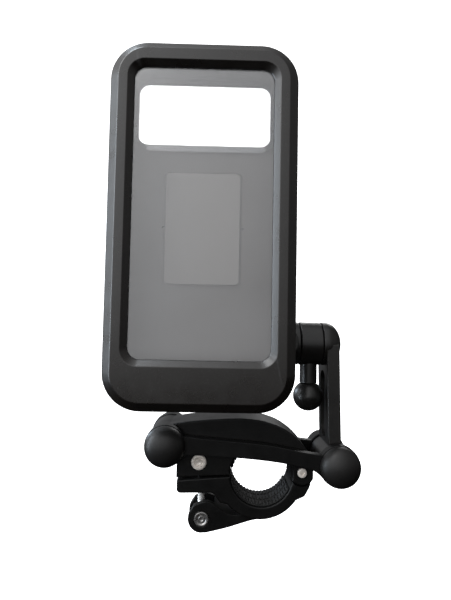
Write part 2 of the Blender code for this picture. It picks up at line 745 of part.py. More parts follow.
back_shell = loft("back_shell", [case_loop(by, y) for by, y in SHELL_SECTION], GREY, "case")
fixed_tab = [(-77.0, -30.6)] + hinge_round + [(-82.0, -32.4), (-81.2, -33.6), (-77.0, -33.6)]
for i, (bottom, top) in enumerate(FIXED_KNUCKLES):
    join(back_shell, prism(f"k_fixed_{i}", fixed_tab, bottom, top, axis="Z"))
cut(
    back_shell,
    prism("k_camera_hole", slab(*CAMERA_HOLE, 5.6), -30, -15),
    prism("k_plate_recess", slab(*PLATE_RECESS, 3.0), -25, -22.6),
    hinge_bore("k_shell_pin"),
    # room for the lock slider in the rim
    prism("k_slider_bay", rectangle(10.2, 16, -40, -30), 117.4, 137.8, axis="Z"),
)
# room for the cover's knuckles
notch = rectangle(-90, -78.05, -45, -25)
for i, (bottom, top) in enumerate(KNUCKLES):
    low, high = bottom - KNUCKLE_GAP, top + KNUCKLE_GAP
    cut(back_shell, prism(f"k_notch_{i}", notch, low, high, axis="Z"))
for i, at in enumerate(SCREWS):
    cut(back_shell, turned(f"k_shell_screw_{i}", rod(1.6, -30, -15), at, sides=TINY))
for i, x in enumerate(PLATE_RECESS[:2]):
    cut(back_shell, turned(f"k_pry_{i}", rod(0.9, -26, -22.2), (x, 134.9), sides=TINY))

prism("camera_window", slab(-74.0, 4.6, 176.6, 216.7, 11.0), -24.9, -23.7, CLEAR, "case")
inner_plate = slab(-55.3, -15.0, 104.2, 164.9, 2.6)
prism("inner_plate", inner_plate, -24.1, -22.9, GREY, "case", edge=0.3)
hinge_pin = rod(0.95, 63.0, 202.0, 0.2)
turned("cover_hinge_pin", hinge_pin, COVER_AXIS, STEEL, "case", axis="Z", sides=TINY)

# ---------------------------------------------------------------- rear plate and swivel
plate_outline = slab(
    SWIVEL[0] - 23, SWIVEL[0] + 23, SWIVEL[1] - 26, SWIVEL[1] + 26, 7.0
)
rear_plate = prism("rear_plate", plate_outline, -20.7, -17.9, ABS, "case", edge=0.7)
cut(rear_plate, turned("k_plate_bore", stepped(-25, (6.7, -18.9), (3.3, -10)), SWIVEL))
rear_screw = [
    (0, -22.4), (1.3, -22.4), (1.3, -17.6), (2.7, -17.6),
    (2.7, -16.9), (1.9, -16.3), (0, -16.3),
]
for i, at in enumerate(SCREWS):
    cut(rear_plate, turned(f"k_plate_screw_{i}", rod(1.6, -30, -10), at, sides=TINY))
    turned(f"rear_screw_{i + 1}", rear_screw, at, STEEL, "case", sides=TINY)

swivel_bolt = [
    (0, -20.5), (5.8, -20.5), (5.8, -19.2), (3.0, -19.2),
    (3.0, -1.2), (2.6, -0.8), (0, -0.8),
]
turned("swivel_bolt", swivel_bolt, SWIVEL, STEEL, "case")
turned("swivel_washer", pipe(3.3, 7.0, -7.7, -6.9), SWIVEL, STEEL, "case")
nut("swivel_nut", SWIVEL, -6.6, -2.2, corner=NUT_R, bore=3.3, body="case")

# ---------------------------------------------------------------- lock slider
# its finger pad runs in the rim; its nib hooks behind the cover's ledge; (x, y)
slider_outline = [
    (11.2, -39.9), (11.2, -38.7), (9.4, -38.7), (9.4, -40.6), (12.5, -40.6),
    (12.5, -30.4), (10.6, -30.4), (10.6, -34.9), (11.2, -35.2),
]
prism("lock_slider", slider_outline, 118.0, 129.0, ABS, "lock_slider", axis="Z")

# ---------------------------------------------------------------- origin
# bodies hang from the clamp's empty; cutting and joining shapes stand free
for obj in bpy.data.objects:
    if obj.parent is None:
        obj.location.z -= SEAT_Z * MM
bpy.context.view_layer.update()
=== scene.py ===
"""A phone case on a folding arm, held by a clamp that closes round a bar.

X runs to the right and Z up.  The screen faces -Y, which is the front, and the bar lies
along Y.  Shapes are drawn in millimetres from the centre of the clamp bore.
"""
import json
import math

import bmesh
import bpy
from mathutils import Matrix, Vector


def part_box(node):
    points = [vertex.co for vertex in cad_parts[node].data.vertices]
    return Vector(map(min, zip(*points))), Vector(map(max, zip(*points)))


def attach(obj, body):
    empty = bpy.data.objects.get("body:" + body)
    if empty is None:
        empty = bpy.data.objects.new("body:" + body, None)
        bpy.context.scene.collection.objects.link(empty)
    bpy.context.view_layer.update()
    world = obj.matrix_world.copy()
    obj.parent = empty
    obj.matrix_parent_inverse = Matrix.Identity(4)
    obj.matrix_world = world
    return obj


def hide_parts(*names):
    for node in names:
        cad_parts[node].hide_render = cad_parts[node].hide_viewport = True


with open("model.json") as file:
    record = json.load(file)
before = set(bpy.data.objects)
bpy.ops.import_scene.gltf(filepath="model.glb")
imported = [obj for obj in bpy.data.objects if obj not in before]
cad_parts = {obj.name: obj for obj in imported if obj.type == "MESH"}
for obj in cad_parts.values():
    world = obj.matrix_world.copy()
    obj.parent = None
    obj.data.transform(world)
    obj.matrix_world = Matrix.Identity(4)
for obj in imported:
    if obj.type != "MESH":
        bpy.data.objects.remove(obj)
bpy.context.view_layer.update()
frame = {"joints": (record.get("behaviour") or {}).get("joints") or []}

MM = 0.001
FINE, MID, SMALL = 112, 72, 48  # sides of a full circle

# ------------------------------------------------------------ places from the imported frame
JOINTS = {joint["name"]: joint for joint in frame["joints"]}
HINGE_RISE = 1.6  # the jaw hinge's height above the bore centre
BORE = Vector((0, 0, JOINTS["jaw_open"]["pos_m"][2] - HINGE_RISE * MM))  # metres


def pivot(name, first=0, second=2):
    """A joint's place on two axes, x and z unless told otherwise."""
    place_m = Vector(JOINTS[name]["pos_m"]) - BORE
    return (place_m[first] / MM, place_m[second] / MM)


def span(node):
    lo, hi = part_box(node)
    return (Vector(lo) - BORE) / MM, (Vector(hi) - BORE) / MM


CENTRE = (0, 0)
HINGE = pivot("jaw_open")
ANCHOR = pivot("bolt_swing")
TRUNNION = pivot("cam_lever_turn")
BASE = pivot("lower_arm_swing")
FOLD = pivot("upper_arm_fold")
TILT = pivot("head_tilt", 1, 2)  # (y, z)
SWIVEL = pivot("case_spin")
COVER_AXIS = pivot("cover_open", 0, 1)  # (x, y)

case_lo, case_hi = span("front_frame")
LEFT, RIGHT, BOTTOM, TOP = case_lo.x, case_hi.x, case_lo.z, case_hi.z
Y_FRONT = case_lo.y
Y_EDGE = Y_FRONT + 4.5  # where the cover's sides turn in to its front
Y_SPLIT = -36.0  # back of the cover
Y_RIM = -35.7  # front of the shell
Y_BACK = span("back_shell")[1].y
Y_FLOOR = Y_BACK - 2.4
CASE_R = 19.0
CAVITY = 7.4  # inset of the case's inner wall
WINDOW = (LEFT + 12.4, RIGHT - 12.4, BOTTOM + 25.4, TOP - 13.4)  # x0, x1, z0, z1
JAW_HALF = span("upper_jaw")[1].y
ARM_IN, ARM_OUT = span("lower_arm_rear")[0].y, -span("lower_arm_front")[0].y

LINER_R, JAW_BORE_R = 16.1, 17.4
LUG_R, EYE_R = 7.1, 6.7  # upper and lower jaw round the hinge
BOSS_R, CAP_R, BOLT_R, BORE_R = 11.3, 11.0, 2.8, 3.15  # lower arm joints
ARM_BACK, SEAT_Y, SEAT_R = 18.1, 19.6, 6.4  # rear link's back, nut seat
HEAD_R = 12.5
KNUCKLE_R, PIN_HOLE_R = 1.9, 1.25
COVER_KNUCKLES = [(74.0, 84.0), (SWIVEL[1] - 5.0, SWIVEL[1] + 5.0), (181.0, 191.0)]  # z spans
SHELL_KNUCKLES = [(62.0, 73.6), (191.4, 203.0)]
SCREW_HOLE_R = 1.6
SCREWS = [(SWIVEL[0] + x * 15.0, SWIVEL[1] + z * 18.0) for x in (-1, 1) for z in (-1, 1)]


# ------------------------------------------------------------ node materials
class Nodes:
    """A small builder for one material's node tree."""

    def __init__(self, name):
        self.mat = bpy.data.materials.new(name)
        self.mat.use_nodes = True
        self.tree = self.mat.node_tree
        self.bsdf = self.tree.nodes["Principled BSDF"]
        self.coord = self.add("ShaderNodeTexCoord").outputs["Object"]

    def add(self, kind, **values):
        node = self.tree.nodes.new(kind)
        for key, value in values.items():
            setattr(node, key, value)
        return node

    def link(self, source, socket):
        self.tree.links.new(source, socket)

    def put(self, socket, value):
        if isinstance(value, bpy.types.NodeSocket):
            self.link(value, socket)
        else:
            socket.default_value = value

    def texture(self, kind, per_mm, stretch=(1, 1, 1)):
        mapping = self.add("ShaderNodeMapping")
        mapping.inputs["Scale"].default_value = [s * per_mm * 1000 for s in stretch]
        self.link(self.coord, mapping.inputs["Vector"])
        node = self.add(kind)
        node.inputs["Scale"].default_value = 1.0
        self.link(mapping.outputs["Vector"], node.inputs["Vector"])
        return node

    def noise(self, per_mm, detail=2.0, rough=0.5, stretch=(1, 1, 1)):
        node = self.texture("ShaderNodeTexNoise", per_mm, stretch)
        node.inputs["Detail"].default_value = detail
        node.inputs["Roughness"].default_value = rough
        return node.outputs["Fac"]

    def cells(self, per_mm):
        return self.texture("ShaderNodeTexVoronoi", per_mm).outputs["Distance"]

    def spread(self, fac, to=(0.0, 1.0), within=(0.3, 0.7)):
        """Stretches the range within over the range to, clamped."""
        node = self.add("ShaderNodeMapRange")
        node.inputs["From Min"].default_value, node.inputs["From Max"].default_value = within
        node.inputs["To Min"].default_value, node.inputs["To Max"].default_value = to
        self.link(fac, node.inputs["Value"])
        return node.outputs["Result"]

    def maths(self, op, a, b):
        node = self.add("ShaderNodeMath", operation=op)
        self.put(node.inputs[0], a)
        self.put(node.inputs[1], b)
        return node.outputs[0]

    def mix(self, fac, a, b):
        node = self.add("ShaderNodeMix", data_type="RGBA")
        self.put(node.inputs["Factor"], fac)
        for key, value in (("A", a), ("B", b)):
            is_socket = isinstance(value, bpy.types.NodeSocket)
            self.put(node.inputs[key], value if is_socket else (*value, 1.0))
        return node.outputs["Result"]

    def bump(self, height, depth):
        """Relief of a depth in mm."""
        node = self.add("ShaderNodeBump")
        node.inputs["Strength"].default_value = 1.0
        node.inputs["Distance"].default_value = depth * MM
        self.link(height, node.inputs["Height"])
        return node

    def relief(self, fine, broad):
        """Two bumps on top of each other, each (height socket, depth in mm)."""
        under, over = self.bump(*fine), self.bump(*broad)
        self.link(under.outputs["Normal"], over.inputs["Normal"])
        self.link(over.outputs["Normal"], self.bsdf.inputs["Normal"])

    def set(self, **values):
        for key, value in values.items():
            self.put(self.bsdf.inputs[key.replace("_", " ")], value)


def moulded(name, dark, light, rough, grain, sparkle, wear, worn, shine=0.5):
    """Moulded plastic: fine grain, slow colour drift, polished and scuffed edges.

    grain is a depth in mm; sparkle and worn are the strengths of the specks and scuffs.
    """
    n = Nodes(name)
    colour = n.mix(n.spread(n.noise(per_mm=0.045, detail=3.0)), dark, light)
    specks = n.spread(n.noise(per_mm=2.2, detail=1.0), within=(0.62, 0.8))
    colour = n.mix(n.maths("MULTIPLY", specks, sparkle), colour, (0.2, 0.2, 0.2))
    patches = n.spread(n.noise(per_mm=0.35, detail=3.0), to=(0.25, 1.0), within=(0.35, 0.65))
    pointiness = n.add("ShaderNodeNewGeometry").outputs["Pointiness"]
    edges = n.spread(pointiness, within=(0.52, 0.62))
    rubbed = n.maths("MULTIPLY", n.maths("MULTIPLY", edges, patches), worn)
    matt = n.spread(n.noise(per_mm=0.11, detail=4.0), to=(rough - 0.05, rough + 0.06))
    polish = n.maths("MULTIPLY", rubbed, 0.04)
    n.set(
        Base_Color=n.mix(rubbed, colour, wear),
        Roughness=n.maths("SUBTRACT", matt, polish),
        Specular_IOR_Level=shine,
    )
    n.relief(fine=(n.cells(per_mm=3.2), grain), broad=(n.noise(per_mm=0.25), grain * 1.5))
    return n.mat


def shell_plastic():
    """The tray: black outside, and a paler dull face inside under the phone."""
    n = Nodes("tray_plastic")
    place = n.add("ShaderNodeSeparateXYZ")
    n.link(n.coord, place.inputs["Vector"])
    # inside faces look towards the front and lie behind the rim
    normal = n.add("ShaderNodeNewGeometry").outputs["True Normal"]
    to_object = n.add(
        "ShaderNodeVectorTransform",
        vector_type="NORMAL", convert_from="WORLD", convert_to="OBJECT",
    )
    n.link(normal, to_object.inputs["Vector"])
    facing = n.add("ShaderNodeSeparateXYZ")
    n.link(to_object.outputs["Vector"], facing.inputs["Vector"])
    front = n.spread(facing.outputs["Y"], to=(1.0, 0.0), within=(-0.9, -0.1))
    deep = n.spread(place.outputs["Y"], within=(-0.0345, -0.030))
    drift = n.spread(n.noise(per_mm=0.03, detail=3.0))
    pale = n.mix(drift, (0.066, 0.060, 0.055), (0.076, 0.070, 0.065))
    black = n.mix(drift, (0.022, 0.0215, 0.0215), (0.029, 0.028, 0.028))
    n.set(
        Base_Color=n.mix(n.maths("MULTIPLY", front, deep), black, pale),
        Roughness=n.spread(n.noise(per_mm=0.12, detail=4.0), to=(0.46, 0.58)),
    )
    n.relief(fine=(n.cells(per_mm=3.0), 0.0012), broad=(n.noise(per_mm=0.2), 0.004))
    return n.mat


def plate_plastic():
    """Grey plastic with pale flecks."""
    n = Nodes("plate_plastic")
    drift = n.spread(n.noise(per_mm=0.05, detail=3.0))
    base = n.mix(drift, (0.158, 0.148, 0.139), (0.172, 0.162, 0.153))
    flecks = n.spread(n.noise(per_mm=0.9, detail=1.0), within=(0.76, 0.82))
    n.set(
        Base_Color=n.mix(flecks, base, (0.30, 0.30, 0.30)),
        Roughness=n.spread(n.noise(per_mm=0.14, detail=3.0), to=(0.5, 0.62)),
    )
    n.relief(fine=(n.cells(per_mm=2.4), 0.0012), broad=(n.noise(per_mm=0.3), 0.004))
    return n.mat


def rubber():
    n = Nodes("liner_rubber")
    drift = n.spread(n.noise(per_mm=0.2, detail=4.0))
    n.set(
        Base_Color=n.mix(drift, (0.006, 0.006, 0.006), (0.012, 0.0117, 0.0114)),
        Roughness=n.spread(n.noise(per_mm=0.5, detail=3.0), to=(0.62, 0.82)),
        Specular_IOR_Level=0.35,
    )
    n.relief(fine=(n.noise(per_mm=4.0, detail=3.0), 0.02), broad=(n.noise(per_mm=0.8), 0.02))
    return n.mat


def steel(name, tint, rough, stretch, metal):
    """Zinc-plated steel with fine machining marks and a little dulling. With a low metal value the
    bright tint becomes a pale diffuse colour: partly the whitish zinc plate, partly a painted
    highlight for the glints the steel catches.
    """
    n = Nodes(name)
    dull = n.spread(n.noise(per_mm=0.5, detail=4.0), within=(0.42, 0.72))
    matt = n.noise(per_mm=1.6, detail=3.0)
    n.set(
        Base_Color=n.mix(dull, tint, tuple(c * 0.66 for c in tint)),
        Metallic=metal,
        Roughness=n.spread(matt, to=(rough - 0.07, rough + 0.1)),
    )
    marks = n.noise(per_mm=3.0, stretch=stretch)
    n.relief(fine=(marks, 0.012), broad=(n.noise(per_mm=0.9), 0.012))
    return n.mat


def clear(name, tint, haze, gloss, ripple):
    """A clear sheet: a thin milky haze, rub marks and a soft reflection."""
    n = Nodes(name)
    cloud = n.noise(per_mm=0.03, detail=4.0, rough=0.55)
    marks = n.noise(per_mm=0.55, detail=6.0, rough=0.7, stretch=(1, 1, 0.22))
    rub = n.spread(marks, to=(0.0, 0.012), within=(0.58, 0.78))
    milk = n.spread(cloud, to=(haze * 0.78, haze * 1.2))
    n.set(
        Base_Color=(*tint, 1.0),
        Roughness=0.3,
        Specular_IOR_Level=0.0,
        Alpha=n.maths("ADD", milk, rub),
    )
    sheen = n.add("ShaderNodeBsdfGlossy")
    sheen.inputs["Roughness"].default_value = gloss
    wave = n.bump(n.noise(per_mm=0.05), ripple)
    n.link(wave.outputs["Normal"], sheen.inputs["Normal"])
    fresnel = n.add("ShaderNodeFresnel")
    fresnel.inputs["IOR"].default_value = 1.85
    both = n.add("ShaderNodeMixShader")
    n.link(fresnel.outputs["Fac"], both.inputs["Fac"])
    n.link(n.bsdf.outputs["BSDF"], both.inputs[1])
    n.link(sheen.outputs["BSDF"], both.inputs[2])
    n.link(both.outputs["Shader"], n.tree.nodes["Material Output"].inputs["Surface"])
    return n.mat


ABS = moulded(
    "case_plastic", dark=(0.0070, 0.0056, 0.0046), light=(0.0096, 0.0080, 0.0068),
    rough=0.30, grain=0.0035, sparkle=0.10, wear=(0.16, 0.16, 0.165), worn=0.35, shine=0.62,
)
NYLON = moulded(
    "arm_plastic", dark=(0.0075, 0.0070, 0.0064), light=(0.0110, 0.0104, 0.0096),
    rough=0.36, grain=0.0040, sparkle=0.06, wear=(0.08, 0.08, 0.082), worn=0.3,
)
# Painted shade: a darker, less shiny copy of the arm plastic for the clamp and the lower arm
# links, which lie in shadow under the case.
SHADED_CLAMP = moulded(
    "clamp_plastic_painted_shade", dark=(0.0016, 0.0015, 0.0014), light=(0.0030, 0.0028, 0.0026),
    rough=0.40, grain=0.0040, sparkle=0.04, wear=(0.05, 0.05, 0.052), worn=0.25, shine=0.24,
)
BALL = moulded(
    "ball_plastic", dark=(0.0085, 0.0080, 0.0075), light=(0.0120, 0.0112, 0.0105),
    rough=0.33, grain=0.0015, sparkle=0.03, wear=(0.10, 0.10, 0.10), worn=0.2,
)
CAPS = moulded(
    "cap_plastic", dark=(0.0060, 0.0055, 0.0052), light=(0.0090, 0.0083, 0.0078),
    rough=0.45, grain=0.0035, sparkle=0.05, wear=(0.08, 0.08, 0.08), worn=0.2, shine=0.4,
)
TRAY = shell_plastic()
PLATE_MAT = plate_plastic()
RUBBER = rubber()
# Painted highlight: a low metal value and a near-white tint make the pins, nuts, bolts and screws
# pale all over, standing in for the glints they catch.
STEEL = steel("zinc_plate_and_glint", tint=(0.95, 0.88, 0.80), rough=0.36, stretch=(1, 0.15, 1), metal=0.30)
# Painted shade: a darker copy of the pin steel for the lever pin, which sits in the shaded clamp
# below the case.
LEVER_PIN_SHADE_STEEL = steel(
    "lever_pin_shaded_steel", tint=(0.36, 0.35, 0.34), rough=0.26, stretch=(1, 0.15, 1), metal=0.85
)
# Painted highlight: a middling metal value with a pale tint makes the swing bolt and the cover's
# hinge pin bright all over, standing in for their glints.
ROD_STEEL = steel("bright_rod_painted_glint", tint=(0.88, 0.87, 0.85), rough=0.30, stretch=(1, 1, 0.1), metal=0.5)
FILM = clear("touch_film_clear", tint=(0.74, 0.75, 0.77), haze=0.035, gloss=0.06, ripple=0.03)
LENS = clear("camera_window_clear", tint=(0.70, 0.80, 0.92), haze=0.04, gloss=0.05, ripple=0.02)


# ------------------------------------------------------------ outlines (millimetres)
def on_circle(centre, radius, degrees):
    turn = math.radians(degrees)
    return (centre[0] + radius * math.cos(turn), centre[1] + radius * math.sin(turn))


def arc(centre, radius, start, end, sides=FINE):
    steps = max(1, round(abs(end - start) / 360 * sides))
    return [on_circle(centre, radius, start + (end - start) * i / steps) for i in range(steps + 1)]


def bend(p0, p1, p2):
    """The inner points of a quadratic curve from p0 to p2."""
    out = []
    for i in range(1, 10):
        t = i / 10
        weights = ((1 - t) ** 2, 2 * t * (1 - t), t * t)
        out.append(tuple(sum(w * c for w, c in zip(weights, axis)) for axis in zip(p0, p1, p2)))
    return out


def flow(points, led=False):
    """A smooth Catmull-Rom line; when led, it starts at the second point."""
    per_span = 5
    out = []
    for i in range(len(points) - 1):
        p1, p2 = Vector(points[i]), Vector(points[i + 1])
        p0 = Vector(points[i - 1]) if i else p1 * 2 - p2
        p3 = Vector(points[i + 2]) if i + 2 < len(points) else p2 * 2 - p1
        square, cube = 2 * p0 - 5 * p1 + 4 * p2 - p3, 3 * p1 - p0 - 3 * p2 + p3
        for k in range(per_span):
            t = k / per_span
            out.append(tuple(0.5 * (2 * p1 + (p2 - p0) * t + square * t * t + cube * t ** 3)))
    return out[per_span if led else 0:] + [tuple(points[-1])]


def tidy(points, nearest=0.05):
    """Drops points closer than nearest to the one before."""
    out = []
    for point in points:
        if not out or math.dist(point, out[-1]) > nearest:
            out.append(point)
    if math.dist(out[0], out[-1]) <= nearest:
        out.pop()
    return out


def slab(x0, x1, z0, z1, radius):
    """A rectangle with round corners."""
    corners = ((x1 - radius, z1 - radius, 0), (x0 + radius, z1 - radius, 90),
               (x0 + radius, z0 + radius, 180), (x1 - radius, z0 + radius, 270))
    steps = 14
    return [
        on_circle((x, z), radius, start + 90 * i / steps)
        for x, z, start in corners
        for i in range(steps + 1)
    ]


def rectangle(x0, x1, z0, z1):
    return [(x0, z0), (x1, z0), (x1, z1), (x0, z1)]


def meet(c0, r0, c1, r1, side):
    """Where two circles cross, on the side (1 or -1) of the line between their centres."""
    d = math.dist(c0, c1)
    a = (r0 * r0 - r1 * r1 + d * d) / (2 * d)
    h = math.sqrt(r0 * r0 - a * a) * side
    ux, uz = (c1[0] - c0[0]) / d, (c1[1] - c0[1]) / d
    return (c0[0] + a * ux - h * uz, c0[1] + a * uz + h * ux)


def angle_of(centre, point):
    return math.degrees(math.atan2(point[1] - centre[1], point[0] - centre[0]))


def shrink(outline, depth):
    """The same outline moved inwards, point for point, by depth[i] at point i."""
    n = len(outline)
    area = sum(
        outline[i - 1][0] * outline[i][1] - outline[i][0] * outline[i - 1][1] for i in range(n)
    )
    side = 1 if area > 0 else -1
    out = []
    for i in range(n):
        before, point, after = (Vector(outline[k % n]) for k in (i - 1, i, i + 1))
        u, v = (point - before).normalized(), (after - point).normalized()
        nu, nv = Vector((-u.y, u.x)) * side, Vector((-v.y, v.x)) * side
        middle = nu + nv
        middle = middle.normalized() if middle.length > 1e-6 else nu
        out.append(tuple(point + middle * (depth[i] / max(middle.dot(nu), 0.6))))
    return out


def safe_depths(outline, wanted):
    """wanted at each point, less at tight corners, so that no side turns back on itself."""
    n = len(outline)
    depth = [wanted] * n
    for _ in range(60):
        moved = shrink(outline, depth)
        tight = []
        for i in range(n):
            j = (i + 1) % n
            side = Vector(outline[j]) - Vector(outline[i])
            kept = (Vector(moved[j]) - Vector(moved[i])).dot(side)
            if kept < 0.2 * math.dist(outline[j], outline[i]) ** 2:
                tight.append(i)
        if not tight:
            break
        for i in tight:
            depth[i] *= 0.85
            depth[(i + 1) % n] *= 0.85
    return depth


# ------------------------------------------------------------ turning profiles: (radius, place)
def rod(radius, lo, hi, edge=0.0):
    if not edge:
        return [(0, lo), (radius, lo), (radius, hi), (0, hi)]
    flat = radius - edge
    turns = (0, 0.4, 0.8, 1.2, math.pi / 2)
    start = [(flat + edge * math.sin(a), lo + edge - edge * math.cos(a)) for a in turns]
    end = [(flat + edge * math.cos(a), hi - edge + edge * math.sin(a)) for a in turns]
    return [(0, lo)] + start + end + [(0, hi)]


def pipe(inner, outer, lo, hi, edge=0.0):
    return [(inner, lo)] + rod(outer, lo, hi, edge)[1:-1] + [(inner, hi)]


def thread(radius, depth, start, stop):
    """Ring grooves half a millimetre apart."""
    out = []
    t = start
    while t < stop:
        out += [(radius, t), (radius - depth, t + 0.25), (radius, t + 0.5)]
        t += 0.5
    return out


# ------------------------------------------------------------ solids
def place(axis, u, v, t):
    return {"X": (t, u, v), "Y": (u, t, v), "Z": (u, v, t)}[axis]


def solid(bm):
    bmesh.ops.recalc_face_normals(bm, faces=bm.faces)
    bmesh.ops.scale(bm, verts=bm.verts, vec=(MM, MM, MM))
    mesh = bpy.data.meshes.new("piece")
    bm.to_mesh(mesh)
    bm.free()
    obj = bpy.data.objects.new("piece", mesh)
    bpy.context.scene.collection.objects.link(obj)
    return obj


def lofted(loops, ring=False):
    """A skin over loops; ring joins the last to the first instead of capping the ends."""
    bm = bmesh.new()
    rows = [[bm.verts.new(point) for point in loop] for loop in loops]
    n = len(rows[0])
    for low, high in list(zip(rows, rows[1:])) + ([(rows[-1], rows[0])] if ring else []):
        for i in range(n):
            j = (i + 1) % n
            bm.faces.new((low[i], low[j], high[j], high[i]))
    if not ring:
        bm.faces.new(tuple(reversed(rows[0])))
        bm.faces.new(tuple(rows[-1]))
    return solid(bm)


def prism(outline, lo, hi, axis="Y", soft=0.0):
    """An extruded outline; soft rounds its two rims by that radius."""
    outline = tidy(outline, 0.2 if soft else 0.05)
    if soft:
        full = safe_depths(outline, soft)
        loops = []
        for k in range(5):
            turn = math.pi / 2 * k / 4
            inward, along = soft * (1 - math.sin(turn)), soft * (1 - math.cos(turn))
            loops.append((shrink(outline, [inward * f / soft for f in full]), lo + along))
        loops += [(loop, hi + lo - t) for loop, t in reversed(loops)]
    else:
        loops = [(outline, lo), (outline, hi)]
    return lofted([[place(axis, u, v, t) for u, v in loop] for loop, t in loops])


def turned(profile, centre, axis="Y", sides=MID):
    """A profile turned round an axis; one that starts off the axis closes as a ring."""
    bm = bmesh.new()
    rows = []
    for radius, t in profile:
        row = []
        for i in range(1 if radius < 1e-6 else sides):
            turn = 2 * math.pi * i / sides
            u, v = centre[0] + radius * math.cos(turn), centre[1] + radius * math.sin(turn)
            row.append(bm.verts.new(place(axis, u, v, t)))
        rows.append(row)
    hollow = profile[0][0] > 0 and profile[-1][0] > 0
    for low, high in list(zip(rows, rows[1:])) + ([(rows[-1], rows[0])] if hollow else []):
        for i in range(sides):
            j = (i + 1) % sides
            if len(low) == 1:
                bm.faces.new((low[0], high[j], high[i]))
            elif len(high) == 1:
                bm.faces.new((low[i], low[j], high[0]))
            else:
                bm.faces.new((low[i], low[j], high[j], high[i]))
    return solid(bm)


def cylinder(radius, lo, hi, at, edge=0.0, axis="Y", sides=MID):
    return turned(rod(radius, lo, hi, edge), at, axis, sides)


def bake(obj):
    """Applies an object's modifiers."""
    bpy.context.view_layer.update()
    evaluated = obj.evaluated_get(bpy.context.evaluated_depsgraph_get())
    made = bpy.data.meshes.new_from_object(evaluated)
    obj.modifiers.clear()
    obj.data = made


def combine(obj, others, operation):
    for other in others:
        boolean = obj.modifiers.new("b", "BOOLEAN")
        boolean.operation, boolean.solver, boolean.object = operation, "EXACT", other
    bake(obj)
    for other in others:
        bpy.data.objects.remove(other)
    return obj


def join(obj, *others):
    return combine(obj, others, "UNION")


def cut(obj, *others):
    return combine(obj, others, "DIFFERENCE")


def close(mesh):
    """Merges the coincident corners a boolean leaves, so every edge has two faces."""
    bm = bmesh.new()
    bm.from_mesh(mesh)
    bmesh.ops.remove_doubles(bm, verts=bm.verts, dist=0.004 * MM)
    bmesh.ops.dissolve_degenerate(bm, edges=bm.edges, dist=0.002 * MM)
    bmesh.ops.holes_fill(bm, edges=[e for e in bm.edges if e.is_boundary], sides=8)
    bmesh.ops.recalc_face_normals(bm, faces=bm.faces)
    bm.to_mesh(mesh)
    bm.free()


def show(obj, node, body, material, edge=0.0, segments=3):
    """Rounds the edges, paints the piece, and sets it in its CAD node's place."""
    if edge:
        bevel = obj.modifiers.new("rounded_edges", "BEVEL")
        bevel.width, bevel.segments = edge * MM, segments
        bevel.limit_method, bevel.angle_limit = "ANGLE", math.radians(32.0)
        bevel.use_clamp_overlap = True
        bevel.miter_outer = "MITER_ARC"
        bake(obj)
    close(obj.data)
    obj.data.transform(Matrix.Translation(BORE))
    obj.name = node + "_fine"
    obj.data.materials.clear()
    obj.data.materials.append(material)
    obj.data.shade_smooth()
    obj.data.set_sharp_from_angle(angle=math.radians(38))
    # flat faces stay flat beside a rounded edge
    even = obj.modifiers.new("even_normals", "WEIGHTED_NORMAL")
    even.keep_sharp, even.weight = True, 100
    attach(obj, body)
    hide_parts(node)
    return obj


def nut(node, body, at, lo, hi, corner=5.6, bore=3.15, axis="Y"):
    """A hexagon nut with crowned corners and a grooved bore."""
    hexagon = cylinder(corner, lo, hi, at, axis=axis, sides=6)
    crown = cylinder(corner * 0.995, lo, hi, at, corner * 0.13, axis, SMALL)
    combine(hexagon, [crown], "INTERSECT")
    grooves = thread(bore, 0.18, lo - 3, hi + 3)
    tap = tidy([(0, lo - 3)] + grooves + [(0, grooves[-1][1])], 0.01)
    cut(hexagon, turned(tap, at, axis, SMALL))
    show(hexagon, node, body, STEEL)


def washer(node, body, at, inner, outer, lo, hi, edge):
    show(turned(pipe(inner, outer, lo, hi, edge), at), node, body, STEEL)


def aim(obj, at, along):
    """Turns a piece built along Z so that it points along a direction from a point."""
    turn = Vector((0, 0, 1)).rotation_difference(along.normalized()).to_matrix().to_4x4()
    obj.data.transform(Matrix.Translation(Vector((at[0], 0, at[1])) * MM) @ turn)
    return obj


# ============================================================ SHADED_CLAMP
def upper_jaw():
    low = meet(CENTRE, JAW_BORE_R, HINGE, LUG_R, -1)
    crest = [  # (x, z), from the hinge over the top to the left
        (28.9, 0.6), (28.7, 5.0), (27.4, 9.8), (24.2, 15.4), (19.4, 20.6), (14.2, 24.5),
        (8.6, 27.4), (0.4, 29.8), (-6.0, 30.7), (-13.5, 31.0), (-27.0, 30.3), (-41.0, 29.0),
    ]
    outline = (
        [(-47.2, -1.9), (-17.9, -0.1)]
        + arc(CENTRE, JAW_BORE_R, 180.3, angle_of(CENTRE, low))
        + arc(HINGE, LUG_R, angle_of(HINGE, low), -28)[1:]
        + flow(crest)
        + arc(BASE, 10.8, 78, 300)
        + [(-47.2, 6.4)]
    )
    bolt_slot = (
        [(-29.2, -6.0), (-29.2, ANCHOR[1])]
        + arc(ANCHOR, 5.6, 0, 118, MID)[1:]
        + [(-66.0, 3.6), (-66.0, -6.0)]
    )
    anchor_hole = [  # (radius, y)
        (0, -14), (4.55, -14), (4.55, -11.0), (2.3, -11.0),
        (2.3, 11.0), (3.5, 11.0), (3.5, 14), (0, 14),
    ]
    hinge_hole = [  # (radius, y)
        (0, -14), (2.9, -14), (2.9, -11.2), (1.9, -11.2),
        (1.9, 10.3), (3.5, 10.3), (3.5, 14), (0, 14),
    ]
    jaw = cut(
        prism(outline, -JAW_HALF, JAW_HALF, soft=0.9),
        prism(bolt_slot, -4.8, 4.8),
        cylinder(LUG_R + 0.1, -5.2, 5.2, HINGE),
        turned(anchor_hole, ANCHOR),
        turned(hinge_hole, HINGE, sides=SMALL),
        cylinder(BORE_R, -14, 14, BASE),
    )
    show(jaw, "upper_jaw", "clamp", SHADED_CLAMP)


